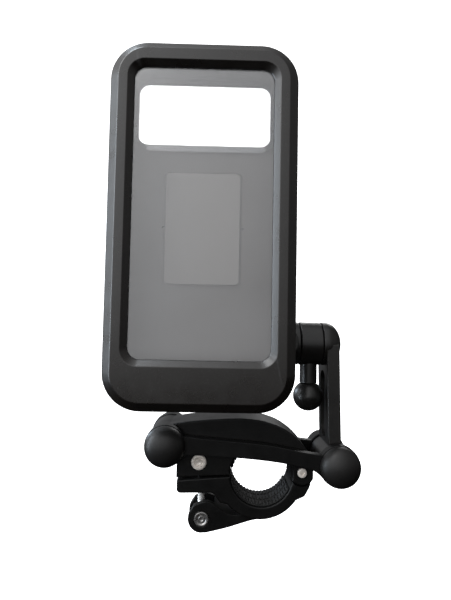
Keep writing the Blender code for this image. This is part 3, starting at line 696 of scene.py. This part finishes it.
def lower_jaw():
    top = meet(CENTRE, JAW_BORE_R, HINGE, EYE_R, 1)
    outline = (  # (x, z), along the left tongue, under the bore and up to the hinge
        [(-17.9, -1.1), (-46.2, -3.1), (-46.9, -3.8), (-46.8, -8.4)]
        + bend((-46.8, -8.4), (-46.6, -10.2), (-44.5, -10.3))
        + [(-44.5, -10.3), (-28.2, -10.0)]
        + bend((-28.2, -10.0), (-26.2, -10.0), (-24.9, -12.6))
        + [(-24.9, -12.6), (-22.9, -15.2)]
        + [
            (24.3 * math.cos(math.radians(a)) - 0.8, 24.1 * math.sin(math.radians(a)))
            for a in range(222, 328, 2)
        ]
        + flow([(19.4, -13.4), (23.6, -11.6), (26.4, -7.2), (28.0, -2.8)], led=True)
        + arc(HINGE, EYE_R, -30, angle_of(HINGE, top))
        + arc(CENTRE, JAW_BORE_R, angle_of(CENTRE, top), -176.4)
    )
    channel = arc(CENTRE, 21.0, 205, 322) + arc(CENTRE, 33.0, 322, 205)
    jaw = cut(
        prism(outline, -JAW_HALF, JAW_HALF, soft=0.9),
        cylinder(LUG_R + 0.4, -15, -4.9, HINGE),
        cylinder(LUG_R + 0.4, 4.9, 15, HINGE),
        cylinder(1.9, -15, 15, HINGE, sides=SMALL),
        prism(rectangle(-60, -30.6, -16, 2), -2.8, 2.8),
        prism(channel, -8.9, 8.9),
    )
    show(jaw, "lower_jaw", "lower_jaw", SHADED_CLAMP)


def liner(node, start, end, body):
    """A rubber pad with three rows of staggered grip ribs on its inner face."""
    rib_degrees, rib_steps = 7.0, 8
    rib_height, thickness = 0.55, 1.0
    steps = round((end - start) / rib_degrees) * rib_steps
    half = [11.0, 10.7, 10.3, 4.7, 4.3, 3.1, 2.7]
    ys = [-y for y in half] + half[::-1]
    bm = bmesh.new()

    def corner(step, radius, y):
        x, z = on_circle(CENTRE, radius, start + (end - start) * step / steps)
        return bm.verts.new((x, y, z))

    def inner_radius(step, y):
        in_row = abs(y) < 2.9 or 4.5 < abs(y) < 10.5
        stagger = 0.5 if abs(y) < 3.7 else 0.0
        phase = (step / rib_steps + stagger) % 1.0
        rib = in_row and 0.2 < phase < 0.8 and 0 < step < steps
        return LINER_R if rib else LINER_R + rib_height

    inner = [[corner(i, inner_radius(i, y), y) for y in ys] for i in range(steps + 1)]
    outer = [[corner(i, LINER_R + thickness, y) for y in ys] for i in range(steps + 1)]
    columns = range(len(ys) - 1)
    for i in range(steps):
        in0, in1, out0, out1 = inner[i], inner[i + 1], outer[i], outer[i + 1]
        for k in columns:
            bm.faces.new((in0[k], in1[k], in1[k + 1], in0[k + 1]))
            bm.faces.new((out0[k], out0[k + 1], out1[k + 1], out1[k]))
        bm.faces.new((in0[0], out0[0], out1[0], in1[0]))
        bm.faces.new((in0[-1], in1[-1], out1[-1], out0[-1]))
    for k in columns:
        bm.faces.new((inner[0][k], inner[0][k + 1], outer[0][k + 1], outer[0][k]))
        bm.faces.new((inner[-1][k], outer[-1][k], outer[-1][k + 1], inner[-1][k + 1]))
    show(solid(bm), node, body, RUBBER)


def clamp_pins():
    """Riveted pins, each with a turned rim or a socket in its front head."""
    anchor = [  # (radius, y)
        (0, -12.0), (0.7, -12.05), (1.1, -12.3), (1.5, -12.3), (1.8, -12.0), (2.2, -12.05),
        (2.5, -12.5), (3.2, -12.6), (3.8, -12.5), (4.15, -12.15), (4.25, -11.8),
        (4.25, -11.3), (2.0, -11.3), (2.0, 11.3), (3.2, 11.3), (3.2, 12.1), (3.0, 12.45),
        (2.6, 12.6), (0, 12.6),
    ]
    show(turned(anchor, ANCHOR), "anchor_pin", "clamp", STEEL)
    hinge = [  # (radius, y)
        (0, -12.6), (2.0, -12.6), (2.4, -12.5), (2.6, -12.2), (2.6, -11.5),
        (1.6, -11.5), (1.6, 12.2), (1.4, 12.4), (0, 12.4),
    ]
    pin = cut(turned(hinge, HINGE, sides=SMALL), cylinder(1.25, -13.2, -11.9, HINGE, sides=6))
    show(pin, "jaw_pin", "clamp", STEEL)
    nut("jaw_pin_nut", "clamp", HINGE, 10.6, 12.6, corner=3.2, bore=1.78)


def swing_bolt():
    """The threaded bolt from the anchor pin, and the lever's pin across its end."""
    lean = Vector((TRUNNION[0] - ANCHOR[0], 0, TRUNNION[1] - ANCHOR[1]))
    length = lean.length
    shank = (
        [(0, 3.6), (2.0, 3.6)]
        + thread(2.0, 0.2, 16.0, length + 2.6)
        + [(1.7, length + 3.5), (0, length + 3.5)]
    )
    bolt = join(
        turned(pipe(2.3, 5.0, -4.3, 4.3, 0.6), ANCHOR),
        aim(turned(tidy(shank, 0.01), CENTRE, "Z", SMALL), ANCHOR, lean),
    )
    show(bolt, "swing_bolt", "swing_bolt", ROD_STEEL)
    profile = [  # (radius, y)
        (0, -8.35), (0.8, -8.4), (1.15, -8.7), (1.6, -8.7), (1.9, -8.35), (2.5, -8.4),
        (2.9, -8.8), (3.5, -8.9), (3.95, -8.75), (4.1, -8.4), (4.1, 8.4), (3.95, 8.75),
        (3.5, 8.9), (0, 8.9),
    ]
    hole = aim(cylinder(2.3, -12, 12, CENTRE, axis="Z", sides=SMALL), TRUNNION, lean)
    show(cut(turned(profile, TRUNNION), hole), "lever_pin", "swing_bolt", LEVER_PIN_SHADE_STEEL)


def cam_lever():
    underside = [  # (x, z), left to right
        (-33.43, -33.18), (-30.2, -33.0), (-18.2, -30.1), (-6.0, -26.3),
        (1.2, -24.9), (8.0, -23.2), (12.4, -21.4),
    ]
    upper_side = [  # (x, z), right to left
        (-5.6, -20.9), (-9.0, -22.2), (-13.0, -23.2), (-17.2, -22.8), (-21.6, -20.6),
        (-25.5, -17.9),
    ]
    outline = (
        arc(TRUNNION, 7.6, 152, 266)
        + flow(underside, led=True)
        + arc(CENTRE, 21.6, 303, 255)
        + flow(upper_side, led=True)
        + bend((-25.5, -17.9), (-28.4, -15.8), (-31.6, -16.2))
        + [(-31.6, -16.2), (-37.2, -18.2)]
    )
    lever = cut(
        prism(outline, -8.3, 8.3),
        cylinder(4.4, -12, 12, TRUNNION),
        prism(rectangle(-46, -25.6, -40, -12), -4.7, 4.7),
    )
    show(lever, "cam_lever", "cam_lever", SHADED_CLAMP, edge=0.8, segments=4)


# ============================================================ LOWER ARM
def lower_arm_links():
    upper_left, lower_left = on_circle(BASE, BOSS_R, 27), on_circle(BASE, BOSS_R, -38)
    lower_right, upper_right = on_circle(FOLD, BOSS_R, 213), on_circle(FOLD, BOSS_R, 146)
    outline = (
        arc(BASE, BOSS_R, 27, 322)
        + bend(lower_left, (-41.9, 12.4), (-37.5, 12.1))
        + flow([(-37.5, 12.1), (-17.9, 11.2), (-3.0, 10.1), (10.5, 8.5), (24.0, 5.9)])
        + bend((24.0, 5.9), (29.3, 4.8), lower_right)
        + arc(FOLD, BOSS_R, 213, 506)
        + bend(upper_right, (31.0, 13.2), (24.0, 14.2))
        + flow([(24.0, 14.2), (15.1, 15.9), (0.7, 18.3), (-18.0, 19.8), (-36.0, 21.3)])
        + bend((-36.0, 21.3), (-41.0, 21.8), upper_left)
    )
    joints = (BASE, FOLD)
    front = prism(outline, -ARM_OUT, -ARM_IN)
    cut(front, *[cylinder(BORE_R, -30, 30, at) for at in joints])
    show(front, "lower_arm_front", "lower_arm", SHADED_CLAMP, edge=0.7)

    rear_hi = span("lower_arm_rear")[1].y
    rear = prism(outline, ARM_IN, ARM_BACK, soft=0.6)
    join(rear, *[cylinder(BOSS_R - 0.6, 16.0, rear_hi, at, edge=0.8) for at in joints])
    hole = [(0, 0), (BORE_R, 0), (BORE_R, SEAT_Y), (SEAT_R, SEAT_Y), (SEAT_R, 30), (0, 30)]
    cut(rear, *[turned(hole, at) for at in joints])
    show(rear, "lower_arm_rear", "lower_arm", SHADED_CLAMP)


def pivot_cap(node, at):
    """A hollow dome on the front of a joint."""
    dome = [on_circle((0, -19.2), 1, 0)] and [
        (CAP_R * math.cos(math.radians(a)), -19.2 - 7.1 * math.sin(math.radians(a)))
        for a in range(86, -1, -4)
    ]
    rim = [
        (CAP_R, -18.75), (CAP_R - 0.05, -18.5), (CAP_R - 0.25, -18.4),
        (6.7, -18.4), (6.7, -22.4), (0, -22.4),
    ]
    show(turned([(0, -26.3)] + dome + rim, at, sides=FINE), node, "lower_arm", CAPS)


def joint_bolt(tag, at):
    """A lower arm joint's bolt, nut and two washers."""
    profile = [  # (radius, y)
        (0, -21.8), (4.6, -21.8), (5.6, -21.2), (6.0, -20.6), (6.0, -18.4),
        (BOLT_R, -18.4), (BOLT_R, 23.5), (2.5, 23.8), (0, 23.8),
    ]
    show(turned(profile, at), tag + "_bolt", "lower_arm", STEEL)
    nut(tag + "_nut", "lower_arm", at, 19.9, 23.9, bore=3.0)
    for side, lo in (("front", -12.75), ("rear", 12.25)):
        washer(f"{tag}_washer_{side}", "lower_arm", at, 3.3, 8.6, lo, lo + 0.5, edge=0.12)


# ============================================================ UPPER ARM
def upper_arm():
    boss_r = 12.4
    left = flow([(35.9, 72.8), (36.6, 40.0), (37.3, 17.0), (39.6, 12.0)])
    right = flow([(44.5, 12.0), (44.3, 18.0), (43.7, 45.0), (43.1, 72.8)])
    arm = prism((left + right)[::-1], -JAW_HALF, JAW_HALF, soft=0.7)
    tilt_boss = [(0, 34.6), (boss_r - 0.5, 34.6), (boss_r - 0.15, 34.75), (boss_r, 35.1)]
    tilt_boss += [
        (boss_r * math.cos(math.radians(a)), 37.0 + 9.2 * math.sin(math.radians(a)))
        for a in range(0, 88, 4)
    ]
    tilt_boss.append((0, 46.2))
    join(
        arm,
        turned(tilt_boss, TILT, "X", FINE),
        cylinder(10.3, -11.95, 11.95, FOLD, edge=0.6, sides=FINE),
    )
    pocket = arc((0, 51.0), 6.4, 0, 180, MID) + arc((0, 25.5), 6.4, 180, 360, MID)
    cut(
        arm,
        cylinder(BORE_R, -14, 14, FOLD),
        cylinder(3.3, 30, 40.8, TILT, axis="X"),
        prism(pocket, 30.0, 38.6, axis="X"),
    )
    show(arm, "upper_arm", "upper_arm", NYLON)
    bolt = cylinder(3.0, -3.0, 40.4, TILT, edge=0.4, axis="X")
    show(bolt, "tilt_bolt", "upper_arm", STEEL)
    nut("tilt_nut", "upper_arm", TILT, -2.0, 2.9, axis="X")


def lock_lever():
    """A hub on the tilt axis with a stem up into it from a ball."""
    stem_at = (27.7, 0)  # (x, y)
    hub = turned(pipe(3.4, 12.4, 21.7, 34.2, 0.7), TILT, "X", FINE)
    stem = [  # (radius, z)
        (0, 45.2), (3.0, 45.2), (3.0, 49.5), (3.3, 49.8),
        (4.6, 49.8), (5.0, 50.2), (5.0, 64.0), (0, 64.0),
    ]
    lever = join(hub, turned(stem, stem_at, "Z"))
    show(lever, "lock_lever", "lock_lever", NYLON, edge=0.3)

    ball_z, ball_r = 42.4, 8.7
    ball = [on_circle((0, ball_z), ball_r, a) for a in range(-86, 55, 4)]
    neck = [(4.9, 49.5), (3.3, 49.5), (3.3, 44.8), (0, 44.8)]
    ball = turned([(0, ball_z - ball_r)] + ball + neck, stem_at, "Z", FINE)
    show(ball, "lever_ball", "lock_lever", BALL)


# ============================================================ HEAD
def head_bracket():
    foot, foot_r = (11.0, 74.0), 8.4
    along = angle_of(foot, SWIVEL)
    spread = math.degrees(math.acos((foot_r - HEAD_R) / math.dist(SWIVEL, foot)))
    outline = (
        arc(SWIVEL, HEAD_R, along - spread, along + spread)
        + arc(foot, foot_r, along + spread, along + 360 - spread)
    )
    bracket = join(
        prism(outline, -15.4, -8.0, soft=0.5),
        cylinder(HEAD_R, -17.4, -8.4, SWIVEL, edge=0.5, sides=FINE),
        cylinder(12.3, 3.4, 21.3, TILT, edge=0.6, axis="X", sides=FINE),
    )
    cut(bracket, cylinder(3.3, -25, 0, SWIVEL), cylinder(3.4, -4, 30, TILT, axis="X"))
    show(bracket, "head_bracket", "head", NYLON)


# ============================================================ CASE
def case_loops(*stations):
    """Case outlines at (inset from the case's sides, y)."""
    loops = []
    for inward, y in stations:
        outline = slab(LEFT + inward, RIGHT - inward, BOTTOM + inward, TOP - inward,
                       max(CASE_R - inward, 4.0))
        loops.append([(x, y, z) for x, z in outline])
    return loops


def window_outline(outward, radius):
    x0, x1, z0, z1 = WINDOW
    return slab(x0 - outward, x1 + outward, z0 - outward, z1 + outward, radius)


def window_loops(*stations):
    """Window outlines at (distance outside the window, y, corner radius)."""
    return [[(x, y, z) for x, z in window_outline(out, radius)] for out, y, radius in stations]


def knuckles(before, after, spans):
    """Hinge tabs, one for each z span: a round top between two runs of (x, y) points."""
    outline = tidy(before + arc(COVER_AXIS, KNUCKLE_R, 180, 0, SMALL) + after)[::-1]
    return [prism(outline, z0, z1, axis="Z") for z0, z1 in spans]


def pin_hole():
    return cylinder(PIN_HOLE_R, 55.0, 210.0, COVER_AXIS, axis="Z", sides=SMALL)


def cover_frame():
    outside = case_loops(
        (0.25, Y_SPLIT), (0.07, Y_SPLIT - 0.1), (0.0, Y_SPLIT - 0.3),
        (0.0, Y_EDGE), (0.06, Y_EDGE - 0.35), (0.22, Y_EDGE - 0.65), (0.5, Y_EDGE - 0.9),
        (4.35, Y_FRONT + 0.36), (4.55, Y_FRONT + 0.17), (4.8, Y_FRONT + 0.05), (5.1, Y_FRONT),
    )
    opening = window_loops(
        (3.4, Y_FRONT, 8.7), (3.1, Y_FRONT + 0.06, 8.5), (2.85, Y_FRONT + 0.2, 8.2),
        (0.4, Y_FRONT + 2.1, 6.3), (0.12, Y_FRONT + 2.35, 6.1), (0.0, Y_FRONT + 2.7, 6.0),
    )
    inside = case_loops((CAVITY, Y_FRONT + 2.7), (CAVITY, Y_SPLIT))
    cover = lofted(outside + opening + inside, ring=True)
    tab_start = [(LEFT + 0.1, -38.0), (LEFT + 0.1, COVER_AXIS[1])]
    tab_end = [(COVER_AXIS[0] + KNUCKLE_R, -38.0)]
    join(cover, *knuckles(tab_start, tab_end, COVER_KNUCKLES))
    cut(  # the hinge hole, and a stepped bay in the right wall
        cover,
        pin_hole(),
        prism(rectangle(9.0, 14.0, -41.0, -34.0), 117.6, 129.4, axis="Z"),
        prism(rectangle(9.0, 14.0, -41.0, -38.4), 129.0, 138.0, axis="Z"),
        prism(rectangle(10.9, 14.0, -40.0, -34.0), 129.0, 138.0, axis="Z"),
    )
    show(cover, "front_frame", "cover", ABS)


def sheet(node, outline, lo, hi, body, material):
    """A thin sheet with a softly rounded rim."""
    return show(prism(outline, lo, hi), node, body, material, edge=0.12, segments=2)


def cover_film():
    film = sheet("touch_film", window_outline(2.2, 7.6), -44.5, -44.0, "cover", FILM)
    # a thin film hardly dims the light on what lies behind
    film.visible_shadow = False
    film.visible_diffuse = False
    front, back = -43.7, -42.6
    loops = (
        case_loops((CAVITY + 0.3, front))
        + window_loops((0.5, front, 6.4), (0.5, back, 6.4))
        + case_loops((CAVITY + 0.3, back))
    )
    show(lofted(loops, ring=True), "film_retainer", "cover", ABS, edge=0.15, segments=2)


def seal_gasket():
    loops = case_loops((4.75, -35.75), (6.05, -35.75), (6.05, -34.6), (4.75, -34.6))
    show(lofted(loops, ring=True), "seal_gasket", "case", RUBBER, edge=0.35, segments=4)


def back_shell():
    shell = lofted(case_loops(
        # outside, from the back to the rim
        (7.4, Y_BACK), (6.6, Y_BACK - 0.15), (5.7, Y_BACK - 0.75), (5.1, Y_BACK - 1.6),
        (4.85, Y_BACK - 2.6), (4.2, -33.2), (0.9, -33.4), (0.9, Y_RIM),
        # gasket groove
        (4.5, Y_RIM), (4.5, -34.3), (6.3, -34.3), (6.3, Y_RIM),
        # inside, down to the floor
        (CAVITY, Y_RIM), (CAVITY + 0.3, Y_FLOOR - 1.2), (CAVITY + 0.6, Y_FLOOR - 0.4),
        (CAVITY + 1.4, Y_FLOOR),
    ))
    tab_start = [(-77.0, -33.6), (-81.2, -33.6), (-82.0, -32.4)]
    join(shell, *knuckles(tab_start, [(-77.0, -30.6)], SHELL_KNUCKLES))

    camera_hole = (-71.4, 1.0, 180.4, 214.8)  # x0, x1, z0, z1
    recess = (-56.4, -13.9, 101.5, 165.3)
    ejector_marks = (  # (x, z)
        (-69.4, 161.2), (-69.1, 141.9), (-68.0, 122.4), (-69.1, 104.5),
        (-0.2, 162.9), (-0.3, 104.8),
    )
    cutters = [
        prism(slab(*camera_hole, 5.6), -30, -15),
        prism(slab(*recess, 3.0), -25, -22.6),
        pin_hole(),
        prism(rectangle(10.2, 16, -40, -30), 117.4, 137.8, axis="Z"),
    ]
    for z0, z1 in COVER_KNUCKLES:
        notch = rectangle(-90, -78.05, -45, -25)
        cutters.append(prism(notch, z0 - 0.4, z1 + 0.4, axis="Z"))
    for at in SCREWS:
        cutters.append(cylinder(SCREW_HOLE_R, -30, -15, at, sides=SMALL))
    for x in recess[:2]:
        cutters.append(cylinder(0.9, -26, -15, (x, 134.9), sides=SMALL))
    # shallow witness rings left by the mould's ejector pins
    for at in ejector_marks:
        cutters.append(turned(pipe(2.5, 2.8, -24.0, -23.28), at, sides=SMALL))
    cut(shell, *cutters)
    show(shell, "back_shell", "case", TRAY)


def case_fittings():
    """The camera window, the inner plate and the cover's hinge pin."""
    lo, hi = span("camera_window")
    sheet("camera_window", slab(-74.0, 4.6, 176.6, 216.7, 11.0), lo.y, hi.y, "case", LENS)
    lo, hi = span("inner_plate")
    plate = prism(slab(lo.x, hi.x, lo.z, hi.z, 2.6), lo.y, hi.y)
    show(plate, "inner_plate", "case", PLATE_MAT, edge=0.28)
    pin = cylinder(0.95, 63.0, 202.0, COVER_AXIS, edge=0.2, axis="Z", sides=SMALL)
    show(pin, "cover_hinge_pin", "case", ROD_STEEL)


def rear_plate():
    x, z = SWIVEL
    bolt_hole = [(0, -25), (6.7, -25), (6.7, -18.9), (3.3, -18.9), (3.3, -10), (0, -10)]
    plate = cut(
        prism(slab(x - 23, x + 23, z - 26, z + 26, 7.0), -20.7, -17.9),
        turned(bolt_hole, SWIVEL),
        *[cylinder(SCREW_HOLE_R, -30, -10, at, sides=SMALL) for at in SCREWS],
    )
    show(plate, "rear_plate", "case", ABS, edge=0.5)


def rear_screw(node, at):
    """A pan-headed screw with a cross recess."""
    profile = [  # (radius, y)
        (0, -22.4), (1.3, -22.4), (1.3, -17.6), (2.7, -17.6), (2.7, -17.1),
        (2.4, -16.7), (1.9, -16.42), (1.0, -16.32), (0, -16.3),
    ]
    x, z = at
    cross = [
        prism(rectangle(x - wide, x + wide, z - tall, z + tall), -17.2, -16.0)
        for wide, tall in ((1.4, 0.25), (0.25, 1.4))
    ]
    show(cut(turned(profile, at, sides=SMALL), *cross), node, "case", STEEL)


def swivel():
    profile = [  # (radius, y)
        (0, -20.5), (5.4, -20.5), (5.8, -20.2), (5.8, -19.2), (3.0, -19.2),
        (3.0, -1.2), (2.6, -0.8), (0, -0.8),
    ]
    show(turned(profile, SWIVEL), "swivel_bolt", "case", STEEL)
    washer("swivel_washer", "case", SWIVEL, 3.3, 7.0, -7.7, -6.9, edge=0.15)
    nut("swivel_nut", "case", SWIVEL, -6.6, -2.2)


def lock_slider():
    outline = [  # (x, y)
        (11.2, -39.9), (11.2, -38.7), (9.4, -38.7), (9.4, -40.6), (12.5, -40.6),
        (12.5, -30.4), (10.6, -30.4), (10.6, -34.9), (11.2, -35.2),
    ]
    show(prism(outline, 118.0, 129.0, axis="Z"), "lock_slider", "lock_slider", ABS)


# ============================================================ STAGE (metres)
def floor_paint():
    n = Nodes("pale_floor")
    pale = (0.92, 0.92, 0.92)
    n.set(
        Base_Color=n.mix(n.spread(n.noise(per_mm=0.004)), pale, tuple(c * 0.99 for c in pale)),
        Roughness=0.9,
        Emission_Color=(1, 1, 1, 1),
        Emission_Strength=1.30,
    )
    return n.mat


def stage_floor():
    """A floor that curves up into a back wall."""
    floor_z, back_y, half_width, curve = -0.40 + BORE.z, 1.6, 4.0, 0.7
    line = [(-3.0, floor_z), (back_y - curve, floor_z)]  # (y, z)
    for degrees in range(6, 91, 6):
        a = math.radians(degrees)
        line.append((back_y - curve + curve * math.sin(a), floor_z + curve * (1 - math.cos(a))))
    line.append((back_y, 3.5))
    bm = bmesh.new()
    left, right = [[bm.verts.new((x, y, z)) for y, z in line] for x in (-half_width, half_width)]
    for i in range(len(line) - 1):
        bm.faces.new((left[i], right[i], right[i + 1], left[i + 1]))
    mesh = bpy.data.meshes.new("floor")
    bm.to_mesh(mesh)
    bm.free()
    floor = bpy.data.objects.new("floor", mesh)
    bpy.context.scene.collection.objects.link(floor)
    mesh.materials.append(floor_paint())
    mesh.shade_smooth()
    floor.visible_glossy = False
    floor.visible_diffuse = False


def studio_world():
    """A room lit from above, the left and the front, and dark below the horizon."""
    strength, seen_strength = 1.75, 1.6  # as light, and as the camera sees it
    world = bpy.data.worlds.new("studio")
    bpy.context.scene.world = world
    world.use_nodes = True
    nodes, links = world.node_tree.nodes, world.node_tree.links
    coord = nodes.new("ShaderNodeTexCoord")
    direction = nodes.new("ShaderNodeSeparateXYZ")
    links.new(coord.outputs["Generated"], direction.inputs["Vector"])

    def falloff(axis, within, to):
        node = nodes.new("ShaderNodeMapRange")
        node.interpolation_type = "SMOOTHSTEP"
        node.inputs["From Min"].default_value, node.inputs["From Max"].default_value = within
        node.inputs["To Min"].default_value, node.inputs["To Max"].default_value = to
        links.new(direction.outputs[axis], node.inputs["Value"])
        return node.outputs["Result"]

    def times(a, b):
        node = nodes.new("ShaderNodeMath")
        node.operation = "MULTIPLY"
        links.new(a, node.inputs[0])
        links.new(b, node.inputs[1])
        return node.outputs["Value"]

    horizon = falloff("Z", within=(-0.14, -0.06), to=(0.010, strength))
    height = falloff("Z", within=(-0.05, 0.45), to=(0.72, 1.0))
    sideways = falloff("X", within=(-0.7, 0.7), to=(1.30, 0.16))
    backwards = falloff("Y", within=(-0.25, 0.45), to=(1.0, 0.26))
    pick = nodes.new("ShaderNodeMix")
    pick.data_type = "FLOAT"
    path = nodes.new("ShaderNodeLightPath")
    links.new(path.outputs["Is Camera Ray"], pick.inputs["Factor"])
    links.new(times(times(horizon, height), times(sideways, backwards)), pick.inputs["A"])
    pick.inputs["B"].default_value = seen_strength
    background = nodes["Background"]
    links.new(pick.outputs["Result"], background.inputs["Strength"])
    background.inputs["Color"].default_value = (0.98, 0.985, 1.0, 1.0)


def softbox(name, at, size, power, colour=(1, 1, 1), towards=(-0.03, -0.02, 0.10)):
    light = bpy.data.lights.new(name, "AREA")
    light.shape = "RECTANGLE"
    light.size, light.size_y = size
    light.energy, light.color = power, colour
    obj = bpy.data.objects.new(name, light)
    bpy.context.scene.collection.objects.link(obj)
    obj.location = Vector(at) + BORE
    obj.rotation_euler = (Vector(towards) - Vector(at)).to_track_quat("-Z", "Y").to_euler()


def lights():
    softbox("key", at=(-0.55, -0.45, 0.85), size=(0.45, 0.45), power=3.2, colour=(0.98, 0.99, 1.0))
    softbox(
        "left_strip", at=(-0.80, -0.20, 0.20), size=(0.14, 0.8), power=5.0,
        colour=(0.78, 0.89, 1.0),
    )
    softbox(
        "top_strip", at=(-0.35, -0.08, 0.90), size=(0.40, 0.12), power=3.0,
        colour=(0.80, 0.90, 1.0),
    )
    softbox("back_fill", at=(0.45, 1.10, 0.75), size=(0.5, 0.5), power=2.6)
    softbox(
        "rim_left", at=(-0.75, 0.55, 0.30), size=(0.25, 0.25), power=3.0,
        colour=(0.72, 0.86, 1.0), towards=(-0.05, 0.0, 0.03),
    )


def view():
    lens = bpy.data.cameras.new("camera")
    lens.lens, lens.sensor_width, lens.sensor_fit = 27.06, 36.0, "AUTO"
    lens.clip_start, lens.clip_end = 0.01, 20.0
    camera = bpy.data.objects.new("camera", lens)
    bpy.context.scene.collection.objects.link(camera)
    right = Vector((0.99967445, -0.01688194, 0.01913106))
    down = Vector((0.01994406, 0.04938137, -0.99858085))
    ahead = Vector((0.01591326, 0.99863731, 0.04970199))
    turn = Matrix((right, -down, -ahead)).transposed().to_4x4()
    at = Vector((-0.025826, -0.265718, 0.084203)) + BORE
    camera.matrix_world = Matrix.Translation(at) @ turn
    bpy.context.scene.camera = camera
    bpy.context.scene.view_settings.view_transform = "Standard"


upper_jaw()
lower_jaw()
liner("upper_liner", 18, 18 + 24 * 144 / 23, "clamp")
liner("lower_liner", 190, 335, "lower_jaw")
clamp_pins()
swing_bolt()
cam_lever()
lower_arm_links()
pivot_cap("pivot_cap_left", BASE)
pivot_cap("pivot_cap_right", FOLD)
joint_bolt("base", BASE)
joint_bolt("fold", FOLD)
upper_arm()
lock_lever()
head_bracket()
cover_frame()
cover_film()
seal_gasket()
back_shell()
case_fittings()
rear_plate()
for number, screw_at in enumerate(SCREWS, 1):
    rear_screw(f"rear_screw_{number}", screw_at)
swivel()
lock_slider()
stage_floor()
studio_world()
lights()
view()

bpy.context.view_layer.update()
